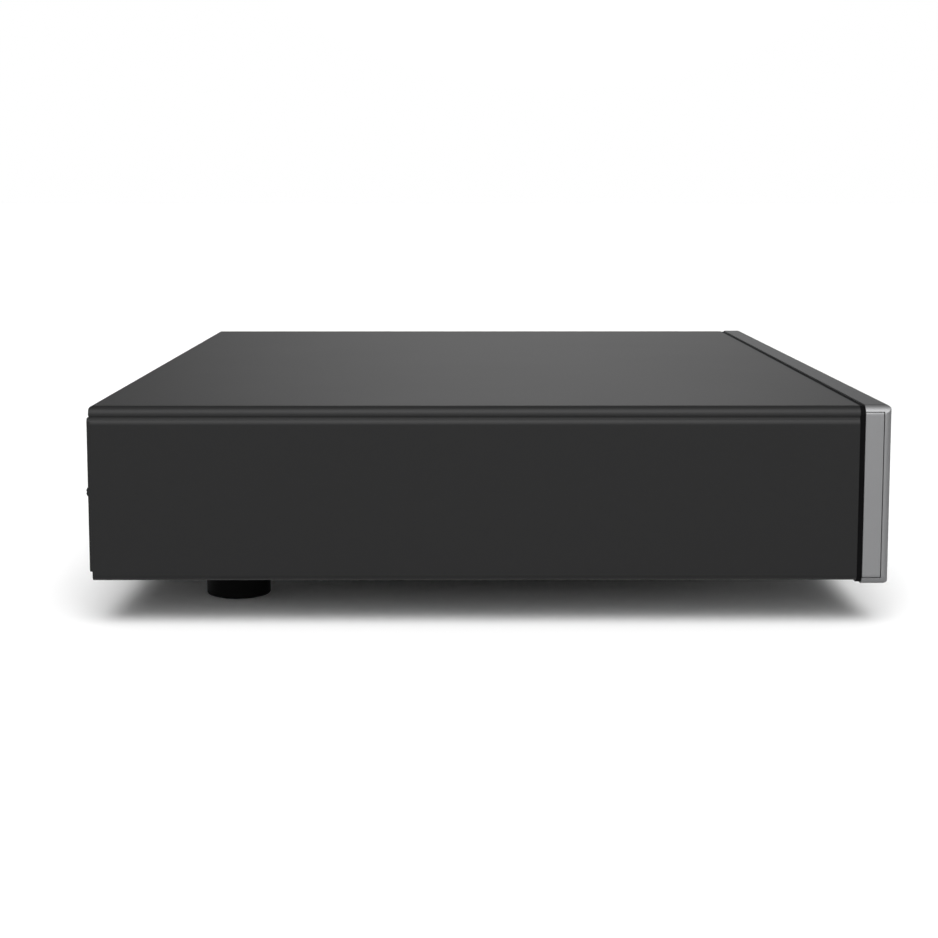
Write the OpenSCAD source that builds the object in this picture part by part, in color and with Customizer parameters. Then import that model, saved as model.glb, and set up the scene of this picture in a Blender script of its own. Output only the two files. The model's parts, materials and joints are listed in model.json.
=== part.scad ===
// Network music streamer: a full-width hi-fi case with a thick aluminium fascia.
// The front faces -Y and +Z is up. The origin is on the floor, under the middle of the whole object.

/* [Case] */
// Width of the case and of the fascia
case_w = 430; // [424:1:450]
// Depth from the fascia's face to the rear panel's outer face
case_d = 304; // [296:1:340]
// Thickness of the folded steel sheet
sheet_t = 1.2; // [0.8:0.1:1.5]
// Height of the tray's underside above the fascia's underside
floor_lift = 1.6; // [0.2:0.1:2]
// Outer bend radius between the tray's floor and its side walls
floor_bend_r = 2.2; // [1.8:0.1:3]
// Outer bend radius at the top of the tray's side walls
wall_bend_r = 3.4; // [1.8:0.1:3.5]
// Width of the inward flange at the top of each side wall
flange_w = 12; // [9:0.5:13]
// Drop of the lid's top below the fascia's top
lid_drop = 0.4; // [0.2:0.1:1]
// Outer bend radius of the lid's side lips
lid_bend_r = 3.4; // [2:0.1:5]
// Straight part of the lid's lip below its bend
lid_lip = 0.2; // [0.1:0.1:1]
// Outer bend radius of the lid's rear lip
lid_rear_r = 1.4; // [1.3:0.1:3]
// Groove between the lid's lip and the tray
lid_groove = 0.2; // [0.1:0.1:1]
// Width of the tabs that carry the screws
tab_w = 14; // [12:0.5:16]

/* [Rear panel] */
// Thickness of the rear panel
panel_t = 1; // [0.8:0.1:1.5]
// Inset of the rear panel's ends from the case's sides
panel_inset = 0.5; // [0.2:0.1:2]
// Height of the rear panel's lower edge above the tray's underside
panel_lift = 3.3; // [2:0.1:3.5]
// Gap between the rear panel's upper edge and the lid's lip
panel_gap = 0.9; // [0.4:0.1:2]
// Corner radius of the rear panel
panel_r = 1.5; // [0.5:0.1:3]
// Distance of the lid's rear edge in front of the panel's outer face
lid_inset = 0.75; // [0.3:0.05:1.2]

/* [Fascia] */
// Height of the fascia
fascia_h = 68.8; // [66:0.1:76]
// Depth of the fascia's flanges
fascia_d = 10; // [9.5:0.1:12]
// Thickness of the fascia's front wall
fascia_t = 2.8; // [2.4:0.1:3]
// Thickness of the fascia's top and bottom flanges
fascia_flange_t = 2.6; // [2:0.1:3]
// Corner radius of the fascia seen from the front
fascia_r = 4; // [3:0.1:6]
// Rounding of the fascia's front edges
fascia_edge_r = 2.2; // [0.5:0.1:2.4]
// Thickness of the end caps along the fascia
cap_t = 5; // [3:0.1:6]
// Gap around each end cap
cap_gap = 0.2; // [0.1:0.05:0.4]
// Thickness of the sub-frame behind the fascia
subframe_t = 2; // [1.6:0.1:2.4]
// Step of the sub-frame's rim inside the fascia's outline
subframe_step = 0.6; // [0.2:0.1:1]
// Distance of the end screws from the case's sides
end_screw_inset = 10; // [9.5:0.1:11]
// Distance of the fascia's screws from its centre
fascia_screw_x = 115; // [108:1:120]

/* [Feet] */
// Height of the fascia's underside above the floor
stand_h = 16.2; // [12:0.1:24]
// Radius of each foot
foot_r = 13; // [12:0.5:18]
// Rounding of each foot's lower edge
foot_edge_r = 1.2; // [1:0.1:2.6]
// Radius of the rubber pad under each foot
pad_r = 9.5; // [8:0.5:10]
// Thickness of the rubber pad
pad_t = 2; // [1.6:0.1:3]
// Depth of the pad's seat in the foot
pad_seat = 1.2; // [0.5:0.1:1.4]
// Distance of the rear feet from the case's sides
foot_side_inset = 64; // [40:1:75]
// Distance of the rear feet from the rear panel
foot_rear_inset = 49.7; // [40:0.1:60]
// Distance of the front foot behind the fascia's face
foot_front_inset = 60; // [40:1:80]

/* [Display] */
// Width of the display window's opening
window_w = 130; // [110:1:134]
// Height of the display window's opening
window_h = 46; // [40:1:50]
// Corner radius of the window's opening
window_r = 3; // [1:0.5:5]
// Width of the flange around the window, behind the fascia
window_flange = 2; // [1.5:0.1:3]
// Thickness of the window's flange
window_flange_t = 1.3; // [1:0.1:1.5]
// Thickness of the foam gasket
gasket_t = 1; // [0.6:0.1:1.2]
// Width of the foam gasket
gasket_w = 4; // [2:0.5:6]

/* [Keys] */
// Width of each small key
key_w = 14; // [10:0.5:16]
// Height of each small key
key_h = 5.6; // [5:0.1:8]
// Height of the keys above the fascia's face
key_out = 1; // [0.6:0.1:2]
// Travel of the keys
key_travel = 0.5; // [0.3:0.05:0.8]
// Gap around the keys in their openings
key_gap = 0.25; // [0.15:0.05:0.4]
// Width of the flange that keeps each key behind the fascia
key_flange = 1.5; // [1:0.1:2]
// Distance between a key column and the display window
key_column_gap = 27; // [24:0.5:29]
// Distance between the keys in a column
key_pitch = 17; // [14:0.5:18]
// Radius of the standby key
standby_r = 5; // [4:0.1:6.5]
// Distance of the standby key from the case's left side
standby_inset = 28; // [26:0.5:32]
// Distance of the socket and receiver column from the case's left side
usb_inset = 62; // [56:0.5:66]

/* [Knob] */
// Radius of the knob
knob_r = 20; // [16:0.5:24]
// Length of the knob
knob_len = 12.3; // [11:0.1:16]
// Gap between the knob and the fascia
knob_gap = 1.2; // [1:0.1:2]
// Travel of the knob when it is pushed
knob_travel = 0.5; // [0.3:0.05:0.6]
// Distance of the knob's axis from the case's right side
knob_inset = 55; // [45:0.5:58]
// Thickness of the knob's outer wall
knob_wall = 2.5; // [2:0.1:3.5]
// Thickness of the knob's front wall
knob_face_t = 4; // [2.5:0.1:4.5]
// Radius of the encoder's shaft
shaft_r = 3; // [2.5:0.1:3]
// Radial running clearance of the encoder's shaft
shaft_clear = 0.06; // [0.03:0.01:0.09]

/* [Rear sockets] */
// Reach of the phono barrels beyond the rear panel
jack_reach = 9; // [8:0.5:11]
// Distance of the first balanced socket from the case's right side
xlr_inset = 32; // [30:0.5:35]
// Distance between the balanced sockets
xlr_pitch = 34; // [30:0.5:36]
// Distance between the last balanced socket and the first phono column
phono_gap = 30; // [26:0.5:32]
// Distance between the phono columns
phono_pitch = 24; // [18:0.5:26]
// Distance between the two phono barrels of a column
phono_rise = 20; // [16:0.5:22]
// Distance between the last phono column and the first optical socket
optical_gap = 22; // [17:0.5:24]
// Distance between the optical sockets
optical_pitch = 14; // [12:0.5:16]
// Distance between the last optical socket and the square data socket
usb_b_gap = 20; // [17:0.5:22]
// Distance between the square and the flat data sockets
usb_a_gap = 22; // [18:0.5:24]
// Distance between the flat data socket and the network socket
ethernet_gap = 24; // [19:0.5:26]
// Distance between the network socket and the first control jack
control_gap = 20; // [16:0.5:22]
// Distance between the control jacks
control_pitch = 12; // [10:0.5:14]
// Distance of the mains inlet from the case's left side
inlet_inset = 38; // [36:0.5:42]
// Distance between the mains inlet and the power switch
switch_gap = 34; // [30:0.5:38]
// Tilt of the power rocker to either side of its middle
rocker_tilt = 11; // [8:0.5:12]
// Opening angle of the optical shutters
shutter_swing = 75; // [60:1:80]

/* [Boards] */
// Thickness of the circuit boards
board_t = 1.6; // [1.2:0.1:2]
// Height of the boards above the tray's floor
standoff_h = 8; // [7:0.5:9]
// Depth of the main board
main_board_d = 150; // [130:1:155]
// Width of the power board
power_board_w = 110; // [100:1:116]
// Depth of the power board
power_board_d = 100; // [90:1:110]
// Distance between the control board and the sub-frame
control_gap_y = 3; // [2.8:0.1:3.4]
// Width of the ribbon cable
ribbon_w = 20; // [12:1:30]

/* [Hidden] */
$fn = 64;
cut = 1;
half_w = case_w / 2;
knob_reach = knob_gap + knob_len;
total_d = knob_reach + case_d + jack_reach;
front_y = knob_reach - total_d / 2;
rear_y = total_d / 2 - jack_reach;
panel_y = rear_y - panel_t;

fascia_z0 = stand_h;
fascia_z1 = stand_h + fascia_h;
mid_z = stand_h + fascia_h / 2;
wall_back_y = front_y + fascia_t;
subframe_y = front_y + fascia_d;
case_y = subframe_y + subframe_t;
control_y = case_y + control_gap_y;

floor_z = stand_h + floor_lift;
floor_top = floor_z + sheet_t;
lid_z1 = fascia_z1 - lid_drop;
lid_under = lid_z1 - sheet_t;
lip_z0 = lid_z1 - lid_bend_r - lid_lip;
wall_z1 = lip_z0 - lid_groove;
lid_rear_y = rear_y - lid_inset;

panel_z0 = floor_z + panel_lift;
panel_z1 = lip_z0 - panel_gap;
panel_mid = (panel_z0 + panel_z1) / 2;
rear_lip_h = 9;
rear_lip_z1 = floor_top + rear_lip_h;

screw_r = 1.5;
screw_hole_r = 1.6;
screw_head_r = 2.7;
screw_head_h = 1.9;
screw_len = 6;
foot_screw_len = 9;
recess_w = 0.7;
recess_len = 3.2;
recess_d = 1.2;
drill = 4;
side_screw_inset = 7.5;
side_screw_x = half_w - side_screw_inset;
side_screw_z = mid_z + 0.5;
lip_screw_lift = 3.7;
lip_screw_z = panel_z0 + lip_screw_lift;
lid_screw_drop = 4.8;
lid_screw_z = panel_z1 - lid_screw_drop;
lid_screw_pitch = 125;
lid_screw_x = [-lid_screw_pitch, 0, lid_screw_pitch];
end_screw_x = half_w - end_screw_inset;
end_screw_margin = 14;
end_screw_z = [fascia_z0 + end_screw_margin, fascia_z1 - end_screw_margin];
fascia_screw_margin = 9.5;
fascia_screw_z = [fascia_z0 + fascia_screw_margin, fascia_z1 - fascia_screw_margin];
boss_r = 3;
rear_tab_h = 44;
front_tab_h = 52;
lid_tab_drop = 5;
slot_w = 3;
slot_len = 26;
slot_r = 1.4;
slot_pitch = 9;
slot_step = 34;
slot_x = 25;
slot_y = 24;

rear_foot_x = half_w - foot_side_inset;
rear_foot_y = rear_y - foot_rear_inset;
front_foot_y = front_y + foot_front_inset;
foot_z0 = pad_t - pad_seat;

window_back_y = wall_back_y + 0.1 + window_flange_t;
module_y = window_back_y + gasket_t;

key_x = window_w / 2 + key_column_gap;
key_flange_y = wall_back_y + 0.1;
key_flange_t = 1;
key_edge_r = 0.5;
switch_size = 6;
switch_h = 4;
switch_y = control_y - switch_h;
stem_r = 1.6;
stem_in = 0.7;
stem_end_y = switch_y + stem_in;
standby_x = standby_inset - half_w;
led_rise = 14;
led_z = mid_z + led_rise;
usb_x = usb_inset - half_w;
usb_drop = 6;
usb_z = mid_z - usb_drop;
ir_rise = 10;
ir_z = mid_z + ir_rise;

knob_x = half_w - knob_inset;
knob_y0 = front_y - knob_reach;
hub_y0 = knob_y0 + knob_face_t;
knob_edge_r = 0.8;
knob_dish = 0.7;
knob_dish_r = 140;
shaft_flat = 1.2;
encoder_back = 4.4;
encoder_y = wall_back_y + encoder_back;
encoder_w = 12.4;
encoder_h = 13.4;
encoder_pocket = 20;
encoder_wall = 3;
nut_seat = 2.2;
nut_t = 2;
nut_r = 5.7;
bushing_r = shaft_r + 0.5;
collar_out = 0.9;
collar_y = encoder_y + 2.5;
plunger_y = collar_y + 0.5;
plunger_t = 2;

board_z = floor_top + standoff_h;
board_top = board_z + board_t;
board_margin = 10;
main_x1 = half_w - board_margin;
main_y1 = panel_y - sheet_t - 0.8;
main_y0 = main_y1 - main_board_d;

xlr_x = [half_w - xlr_inset, half_w - xlr_inset - xlr_pitch];
xlr_screw_x = 9.5;
xlr_screw_z = 12;
phono_x = [xlr_x[1] - phono_gap, xlr_x[1] - phono_gap - phono_pitch];
phono_z = [panel_mid - phono_rise / 2, panel_mid + phono_rise / 2];
optical_x = [phono_x[1] - optical_gap, phono_x[1] - optical_gap - optical_pitch];
usb_b_x = optical_x[1] - usb_b_gap;
usb_a_x = usb_b_x - usb_a_gap;
ethernet_x = usb_a_x - ethernet_gap;
control_x = [ethernet_x - control_gap, ethernet_x - control_gap - control_pitch];
main_over = 14;
main_x0 = control_x[1] - main_over;
inlet_x = inlet_inset - half_w;
switch_x = inlet_x + switch_gap;

power_x0 = board_margin - half_w;
power_x1 = power_x0 + power_board_w;
power_back = 40;
power_y1 = rear_y - power_back;
power_y0 = power_y1 - power_board_d;

post_r = 3;
post_in = 6;
post_rear_in = 30;
board_screw_len = 5.5;
control_screw_len = 5;
main_posts = [
    for (x = [main_x0 + post_in, main_x1 - post_in], y = [main_y0 + post_in, main_y1 - post_rear_in]) [x, y]
];
power_posts = [
    for (x = [power_x0 + post_in, power_x1 - post_in], y = [power_y0 + post_in, power_y1 - post_in]) [x, y]
];
control_margin = 8;
control_post_z = 12;
control_post_gap = 14;
control_post_mid = -30;
control_post_x = [usb_x - control_post_gap, control_post_mid, knob_x - 2 * control_post_gap];
control_posts = [
    for (x = control_post_x, z = [fascia_z0 + control_post_z, fascia_z1 - control_post_z]) [x, z]
];
control_left = 9;
control_right = 22;
control_x0 = standby_x - control_left;
control_x1 = knob_x + control_right;

// Standard sizes of the bought-in sockets, the switch and the small parts
socket_gap = 0.15;
foot_web = 5;
foot_screw_z = floor_z - foot_web;
led_r = 1.5;
ir_r = 2.5;
ir_w = 6;
ir_h = 6.4;
usb_w = 13.2;
usb_h = 5.8;
usb_wall = 0.35;
usb_d = 14;
usb_out = 0.5;
usb_tongue_w = 11.1;
usb_tongue_t = 1.84;
usb_tongue_rise = 0.9;
inlet_w = 27;
inlet_h = 19.8;
inlet_cavity_w = 24.4;
inlet_cavity_h = 16.4;
inlet_depth = 15;
inlet_flange_t = 2;
inlet_flange = 2;
inlet_r = 1.8;
inlet_corner = 4;
inlet_back = 3;
inlet_pin_w = 2;
inlet_pin_h = 4;
inlet_tail = 7;
inlet_floor_y = rear_y + inlet_flange_t - inlet_depth;
inlet_pins = [[0, 2], [-7, -2], [7, -2]];
switch_w = 13;
switch_hgt = 19.2;
switch_bezel = 1.2;
switch_bezel_t = 1.8;
switch_d = 15;
switch_back_y = rear_y - switch_d;
switch_tab_w = 4.8;
switch_tab_t = 0.8;
switch_tab_len = 6;
switch_tab_z = 6;
rocker_r = 8.4;
rocker_in = 3;
rocker_y = rear_y - rocker_in;
rocker_w = 10;
rocker_back = 3;
rocker_end = 9;
rocker_crest = 5.4;
rocker_dip = 3.6;
pivot_r = 1;
pivot_len = 11.6;
phono_r = 4.15;
phono_inner_r = 3.5;
phono_seat = 5;
phono_block_w = 13;
phono_block_d = 12;
phono_block_top = 8;
phono_flange_r = 6;
phono_flange_t = 1;
phono_bore_r = 1.65;
phono_step = 0.6;
xlr_body_r = 11.5;
xlr_cavity_r = 9.5;
xlr_flange_w = 26;
xlr_flange_h = 31;
xlr_flange_r = 3;
xlr_flange_t = 2;
xlr_d = 18;
xlr_pin_r = 1.2;
xlr_tail = 3;
xlr_mouth_d = 12;
xlr_floor_y = rear_y - xlr_mouth_d;
xlr_pins_at = [[-3.6, 2.1], [3.6, 2.1], [0, -4.2]];
optical_w = 9.8;
optical_h = 11;
optical_d = 13.5;
optical_mouth_w = 8.4;
optical_floor_t = 1.2;
optical_roof_t = 0.7;
shutter_w = 7.8;
shutter_t = 0.9;
shutter_clear = 0.3;
shutter_in = 1.5;
shutter_pin_r = 0.5;
shutter_pin_len = 9.2;
shutter_stand = 3.2;
shutter_y = rear_y + shutter_stand + shutter_t / 2;
shutter_z = board_top + optical_h - shutter_in;
shutter_z0 = board_top + shutter_in;
optical_out = shutter_stand + shutter_t + shutter_clear;
optical_mid = (optical_x[0] + optical_x[1]) / 2;
optical_span = optical_x[0] - optical_x[1] + optical_w;
optical_bezel = 1.6;
optical_bezel_t = 1;
optical_bezel_r = 1.2;
optical_floor_y = rear_y - (shutter_z - shutter_z0) * sin(shutter_swing) - shutter_in;
usb_b_w = 12;
usb_b_h = 10.8;
usb_b_d = 16;
usb_b_mouth_w = 8.6;
usb_b_mouth_h = 7.8;
usb_b_corner = 1.8;
usb_b_tongue_w = 5.6;
usb_b_tongue_t = 3.2;
ethernet_w = 16;
ethernet_h = 13.4;
ethernet_d = 20;
ethernet_out = 0.8;
ethernet_mouth_d = 14;
ethernet_mouth_w = 11.8;
ethernet_mouth_h = 7.4;
ethernet_mouth_z = 4.4;
latch_w = 6.4;
latch_z = 2;
control_w = 8;
control_h = 9;
control_d = 13;
control_rise = 5;
control_z = board_top + control_rise;
control_nose_r = 3;
control_nose = 1;
control_bore_r = 1.8;
control_bore_d = 11;

// Plates that close the notch in the rear panel, and the screws in the lip behind it
plate_margin = 4.5;
plate_left = 9;
plate_gap = 0.2;
plate_x0 = control_x[1] - plate_left;
plate_x1 = optical_x[0] + optical_w / 2 + optical_bezel + plate_margin;
plate_split = (usb_a_x - usb_w / 2 + ethernet_x + ethernet_w / 2) / 2;
plate_z1 = board_top + ethernet_h + plate_margin;
plate_spans = [[plate_x0, plate_split - plate_gap / 2], [plate_split + plate_gap / 2, plate_x1]];
plate_screw_x = [
    (control_x[0] + control_x[1]) / 2, ethernet_x, usb_a_x,
    (usb_b_x + usb_b_w / 2 + optical_x[1] - optical_w / 2 - optical_bezel) / 2
];
lip_screw_x = concat([-95, 150], plate_screw_x);
lip_screw_over = 0.6;
lip_screw_len = rear_y - panel_y + sheet_t + lip_screw_over;

// What stands on the boards, and the wiring between them
header_wall = 2;
header_d = 6;
header_h = 6;
header_in = 2;
header_slot = 1;
chip_t = 1.6;
dac_chip_w = 14;
dac_chip_d = 10;
dac_chip_y = 50;
link_chip_w = 18;
link_chip_y = 44;
buffer_chip_w = 6;
buffer_chip_d = 8;
buffer_chip_y = 40;
can_r = 5;
can_h = 16;
can_y = 66;
can_pitch = 14;
mains_can_r = 9;
mains_can_h = 30;
mains_can_x = 22;
mains_can_y = 38;
mains_can_pitch = 24;
radio_w = 50;
radio_d = 40;
radio_t = 1.2;
radio_y = 96;
radio_rise = 4;
radio_rim = 3;
radio_can_h = 3;
radio_pins_w = 40;
radio_pins_d = 2.6;
core_w = 40;
core_d = 14;
core_h = 29;
coil_w = 34;
coil_d = 30;
coil_h = 26;
core_in = 40;
terminal_h = 9;
terminal_d = 10;
terminal_y = 14;
terminal_over = 10;
ribbon_t = 0.5;
ribbon_bend_r = 4;
ribbon_drop = 12;
ribbon_z = mid_z - ribbon_drop;
ribbon_y1 = main_y0 + header_in + header_h / 2;
wire_r = 1.4;
wire_step = 5;

black_paint = [0.13, 0.13, 0.14];
silver = [0.66, 0.67, 0.69];
black_plastic = [0.06, 0.06, 0.065];
rubber = [0.04, 0.04, 0.04];
steel = [0.7, 0.7, 0.72];
gold = [0.83, 0.68, 0.35];
board_green = [0.05, 0.25, 0.14];

// Rounded rectangle about the origin
module rrect(w, h, r) {
    square([w - 2 * r, h], center = true);
    square([w, h - 2 * r], center = true);
    for (sx = [-1, 1], sz = [-1, 1])
        translate([sx * (w / 2 - r), sz * (h / 2 - r)]) circle(r);
}

// A drawing in X and Z, extruded from y0 to y1
module along_y(y0, y1) {
    translate([0, y1, 0]) rotate([90, 0, 0]) linear_extrude(y1 - y0) children();
}

// A drawing in Y and Z, extruded from x0 to x1
module along_x(x0, x1) {
    translate([x0, 0, 0]) rotate([90, 0, 90]) linear_extrude(x1 - x0) children();
}

// A round bar along Y
module rod_y(x, z, r, y0, y1) {
    translate([x, y1, z]) rotate([90, 0, 0]) cylinder(r = r, h = y1 - y0);
}

// A box given by its corners
module box(x, y, z) {
    translate([x[0], y[0], z[0]]) cube([x[1] - x[0], y[1] - y[0], z[1] - z[0]]);
}

// A closed sheet outline with one bend radius below and another above
module bent_box(w, z0, z1, r0, r1) {
    translate([-w / 2, z0 + r0]) square([w, z1 - z0 - r0 - r1]);
    translate([r0 - w / 2, z0]) square([w - 2 * r0, r0]);
    translate([r1 - w / 2, z1 - r1]) square([w - 2 * r1, r1]);
    for (s = [-1, 1]) {
        translate([s * (w / 2 - r0), z0 + r0]) circle(r0);
        translate([s * (w / 2 - r1), z1 - r1]) circle(r1);
    }
}

// Plain front outline with its two edges at y0 rounded, drawn as depth and width
module soft_front(w, y0, y1, e) {
    translate([y0 + e, -w / 2]) square([y1 - y0 - e, w]);
    translate([y0, e - w / 2]) square([2 * e, w - 2 * e]);
    for (s = [-1, 1]) translate([y0 + e, s * (w / 2 - e)]) circle(e);
}

// Rounded block from y0 to y1 whose edges at y0 are rounded too
module soft_block(w, h, r, y0, y1, e) {
    intersection() {
        along_y(y0, y1) rrect(w, h, r);
        along_x(-w / 2, w / 2) soft_front(h, y0, y1, e);
        translate([0, 0, -h / 2]) linear_extrude(h) rotate(90) mirror([0, 1]) soft_front(w, y0, y1, e);
    }
}

// Pan-head screw: the head stands on z = 0 and the shank points down
module pan_screw(len) {
    ball_r = (screw_head_r * screw_head_r + screw_head_h * screw_head_h) / (2 * screw_head_h);
    difference() {
        intersection() {
            translate([0, 0, screw_head_h - ball_r]) sphere(ball_r);
            cylinder(r = screw_head_r + cut, h = screw_head_h);
        }
        for (a = [0, 90]) rotate(a)
            translate([-recess_len / 2, -recess_w / 2, screw_head_h - recess_d])
                cube([recess_len, recess_w, recess_d + cut]);
    }
    translate([0, 0, -len]) cylinder(r = screw_r, h = len + 0.2);
}

// Screw whose head faces +Y
module screw_y(x, y, z, len) {
    translate([x, y, z]) rotate([-90, 0, 0]) pan_screw(len);
}

module chassis_section() {
    difference() {
        bent_box(case_w, floor_z, wall_z1, floor_bend_r, wall_bend_r);
        bent_box(case_w - 2 * sheet_t, floor_top, wall_z1 - sheet_t,
            floor_bend_r - sheet_t, wall_bend_r - sheet_t);
        translate([flange_w - half_w, wall_z1 - 2 * sheet_t])
            square([case_w - 2 * flange_w, 3 * sheet_t]);
    }
    for (s = [0, 1]) mirror([s, 0])
        translate([half_w - flange_w, wall_z1 - sheet_t])
            square([sheet_t, lid_under - wall_z1 + sheet_t]);
}

module chassis() {
    color(black_paint) difference() {
        union() {
            along_y(case_y, panel_y) chassis_section();
            box([floor_bend_r - half_w, half_w - floor_bend_r], [panel_y - sheet_t, panel_y],
                [floor_z + sheet_t / 2, rear_lip_z1]);
            for (s = [0, 1]) mirror([s, 0, 0]) {
                box([half_w - sheet_t - tab_w, half_w - sheet_t / 2], [panel_y - sheet_t, panel_y],
                    [mid_z - rear_tab_h / 2, mid_z + rear_tab_h / 2]);
                box([half_w - sheet_t - tab_w, half_w - sheet_t / 2], [case_y, case_y + sheet_t],
                    [mid_z - front_tab_h / 2, mid_z + front_tab_h / 2]);
            }
        }
        for (s = [-1, 1]) {
            rod_y(s * side_screw_x, side_screw_z, screw_hole_r, panel_y - drill, panel_y + cut);
            for (z = end_screw_z) rod_y(s * end_screw_x, z, screw_hole_r, case_y - cut, case_y + drill);
            translate([s * rear_foot_x, rear_foot_y, floor_z - cut]) cylinder(r = screw_hole_r, h = drill);
        }
        translate([0, front_foot_y, floor_z - cut]) cylinder(r = screw_hole_r, h = drill);
        for (x = lip_screw_x) rod_y(x, lip_screw_z, screw_hole_r, panel_y - drill, panel_y + cut);
        // Air slots under the power board
        for (i = [0:6], j = [0, 1])
            translate([power_x0 + slot_x + slot_pitch * i, power_y0 + slot_y + slot_step * j, 0])
                translate([0, 0, floor_z - cut]) linear_extrude(drill) rrect(slot_w, slot_len, slot_r);
    }
}

// The lid's outline across the case, drawn inside the outer face by t
module lid_across(t, z0) {
    w = case_w - 2 * t;
    r = lid_bend_r - t;
    intersection() {
        translate([-w / 2, z0]) square([w, lid_z1 - t - z0]);
        union() {
            translate([r - w / 2, z0 - cut]) square([w - 2 * r, lid_z1 - t - z0 + cut]);
            translate([-w / 2, z0 - cut]) square([w, lid_z1 - t - r - z0 + cut]);
            for (s = [-1, 1]) translate([s * (w / 2 - r), lid_z1 - t - r]) circle(r);
        }
    }
}

// The lid's outline from front to rear, drawn inside the outer face by t
module lid_along(t, y0, z0) {
    y1 = lid_rear_y - t;
    z1 = lid_z1 - t;
    r = lid_rear_r - t;
    translate([y0, z0]) square([y1 - y0 - r, z1 - z0]);
    translate([y0, z0]) square([y1 - y0, z1 - z0 - r]);
    translate([y1 - r, z1 - r]) circle(r);
}

module top_cover() {
    color(black_paint) difference() {
        union() {
            difference() {
                intersection() {
                    along_y(case_y, lid_rear_y) lid_across(0, lip_z0);
                    along_x(-half_w, half_w) lid_along(0, case_y, lip_z0);
                }
                intersection() {
                    along_y(case_y - cut, lid_rear_y) lid_across(sheet_t, lip_z0 - cut);
                    along_x(-half_w, half_w) lid_along(sheet_t, case_y - cut, lip_z0 - cut);
                }
            }
            for (x = lid_screw_x)
                box([x - tab_w / 2, x + tab_w / 2], [panel_y - sheet_t, panel_y],
                    [lid_screw_z - lid_tab_drop, lid_under + sheet_t / 2]);
        }
        for (x = lid_screw_x) rod_y(x, lid_screw_z, screw_hole_r, panel_y - drill, panel_y + cut);
    }
}

// Cut-outs of the sockets that stand on the main board, and the screw holes below them
module plate_cuts() {
    translate([optical_mid, board_top + optical_h / 2])
        square([optical_span + 2 * socket_gap, optical_h + 2 * socket_gap], center = true);
    translate([usb_b_x, board_top + usb_b_h / 2])
        square([usb_b_w + 2 * socket_gap, usb_b_h + 2 * socket_gap], center = true);
    translate([usb_a_x, board_top + usb_h / 2])
        square([usb_w + 2 * socket_gap, usb_h + 2 * socket_gap], center = true);
    translate([ethernet_x, board_top + ethernet_h / 2])
        square([ethernet_w + 2 * socket_gap, ethernet_h + 2 * socket_gap], center = true);
    for (x = control_x) translate([x, control_z]) circle(control_nose_r + socket_gap);
    for (x = lip_screw_x) translate([x, lip_screw_z]) circle(screw_hole_r);
}

module rear_panel() {
    color(black_paint) {
        along_y(panel_y, rear_y) difference() {
            translate([0, panel_mid]) rrect(case_w - 2 * panel_inset, panel_z1 - panel_z0, panel_r);
            translate([plate_x0 - plate_gap, panel_z0 - cut])
                square([plate_x1 - plate_x0 + 2 * plate_gap, plate_z1 + plate_gap - panel_z0 + cut]);
            for (x = xlr_x) translate([x, panel_mid]) {
                circle(xlr_body_r + socket_gap);
                for (s = [-1, 1]) translate([s * xlr_screw_x, -s * xlr_screw_z]) circle(screw_hole_r);
            }
            for (x = phono_x, z = phono_z) translate([x, z]) circle(phono_r + socket_gap);
            translate([inlet_x, panel_mid])
                rrect(inlet_w + 2 * socket_gap, inlet_h + 2 * socket_gap, inlet_r + socket_gap);
            translate([switch_x, panel_mid])
                square([switch_w + 2 * socket_gap, switch_hgt + 2 * socket_gap], center = true);
            for (s = [-1, 1]) translate([s * side_screw_x, side_screw_z]) circle(screw_hole_r);
            for (x = lip_screw_x) translate([x, lip_screw_z]) circle(screw_hole_r);
            for (x = lid_screw_x) translate([x, lid_screw_z]) circle(screw_hole_r);
        }
        // Two plates fill a notch at the lower edge
        for (x = plate_spans) along_y(panel_y, rear_y) difference() {
            translate([x[0], panel_z0]) square([x[1] - x[0], plate_z1 - panel_z0]);
            plate_cuts();
        }
    }
}

module fascia_solid() {
    translate([0, 0, mid_z])
        soft_block(case_w, fascia_h, fascia_r, front_y, subframe_y, fascia_edge_r);
}

module fascia_channel(gap) {
    box([-half_w - cut, half_w + cut], [wall_back_y + gap, subframe_y + cut],
        [fascia_z0 + fascia_flange_t + gap, fascia_z1 - fascia_flange_t - gap]);
}

module fascia() {
    color(silver) difference() {
        union() {
            difference() {
                fascia_solid();
                fascia_channel(0);
            }
            for (s = [-1, 1], z = fascia_screw_z)
                rod_y(s * fascia_screw_x, z, boss_r, wall_back_y - cut, subframe_y);
        }
        for (s = [-1, 1], z = fascia_screw_z)
            rod_y(s * fascia_screw_x, z, screw_hole_r, wall_back_y + cut, subframe_y + cut);
        along_y(front_y - cut, wall_back_y + cut) {
            translate([0, mid_z]) rrect(window_w, window_h, window_r);
            for (s = [-1, 1], i = [-1:1]) translate([s * key_x, mid_z + i * key_pitch])
                rrect(key_w + 2 * key_gap, key_h + 2 * key_gap, key_h / 2 + key_gap - 0.1);
            translate([standby_x, mid_z]) circle(standby_r + key_gap);
            translate([standby_x, led_z]) circle(led_r + 0.1);
            translate([usb_x, ir_z]) circle(ir_r + 0.1);
            translate([usb_x, usb_z]) rrect(usb_w + 0.4, usb_h + 0.4, 0.6);
            translate([knob_x, mid_z]) circle(bushing_r + 1.5);
        }
    }
}

// End cap on the +X end of the fascia
module end_cap() {
    color(silver) intersection() {
        fascia_solid();
        fascia_channel(cap_gap);
        box([half_w - cap_t, half_w + cut], [front_y, subframe_y], [fascia_z0, fascia_z1]);
    }
}

module end_cap_right() {
    end_cap();
}

module end_cap_left() {
    mirror([1, 0, 0]) end_cap();
}

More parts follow.
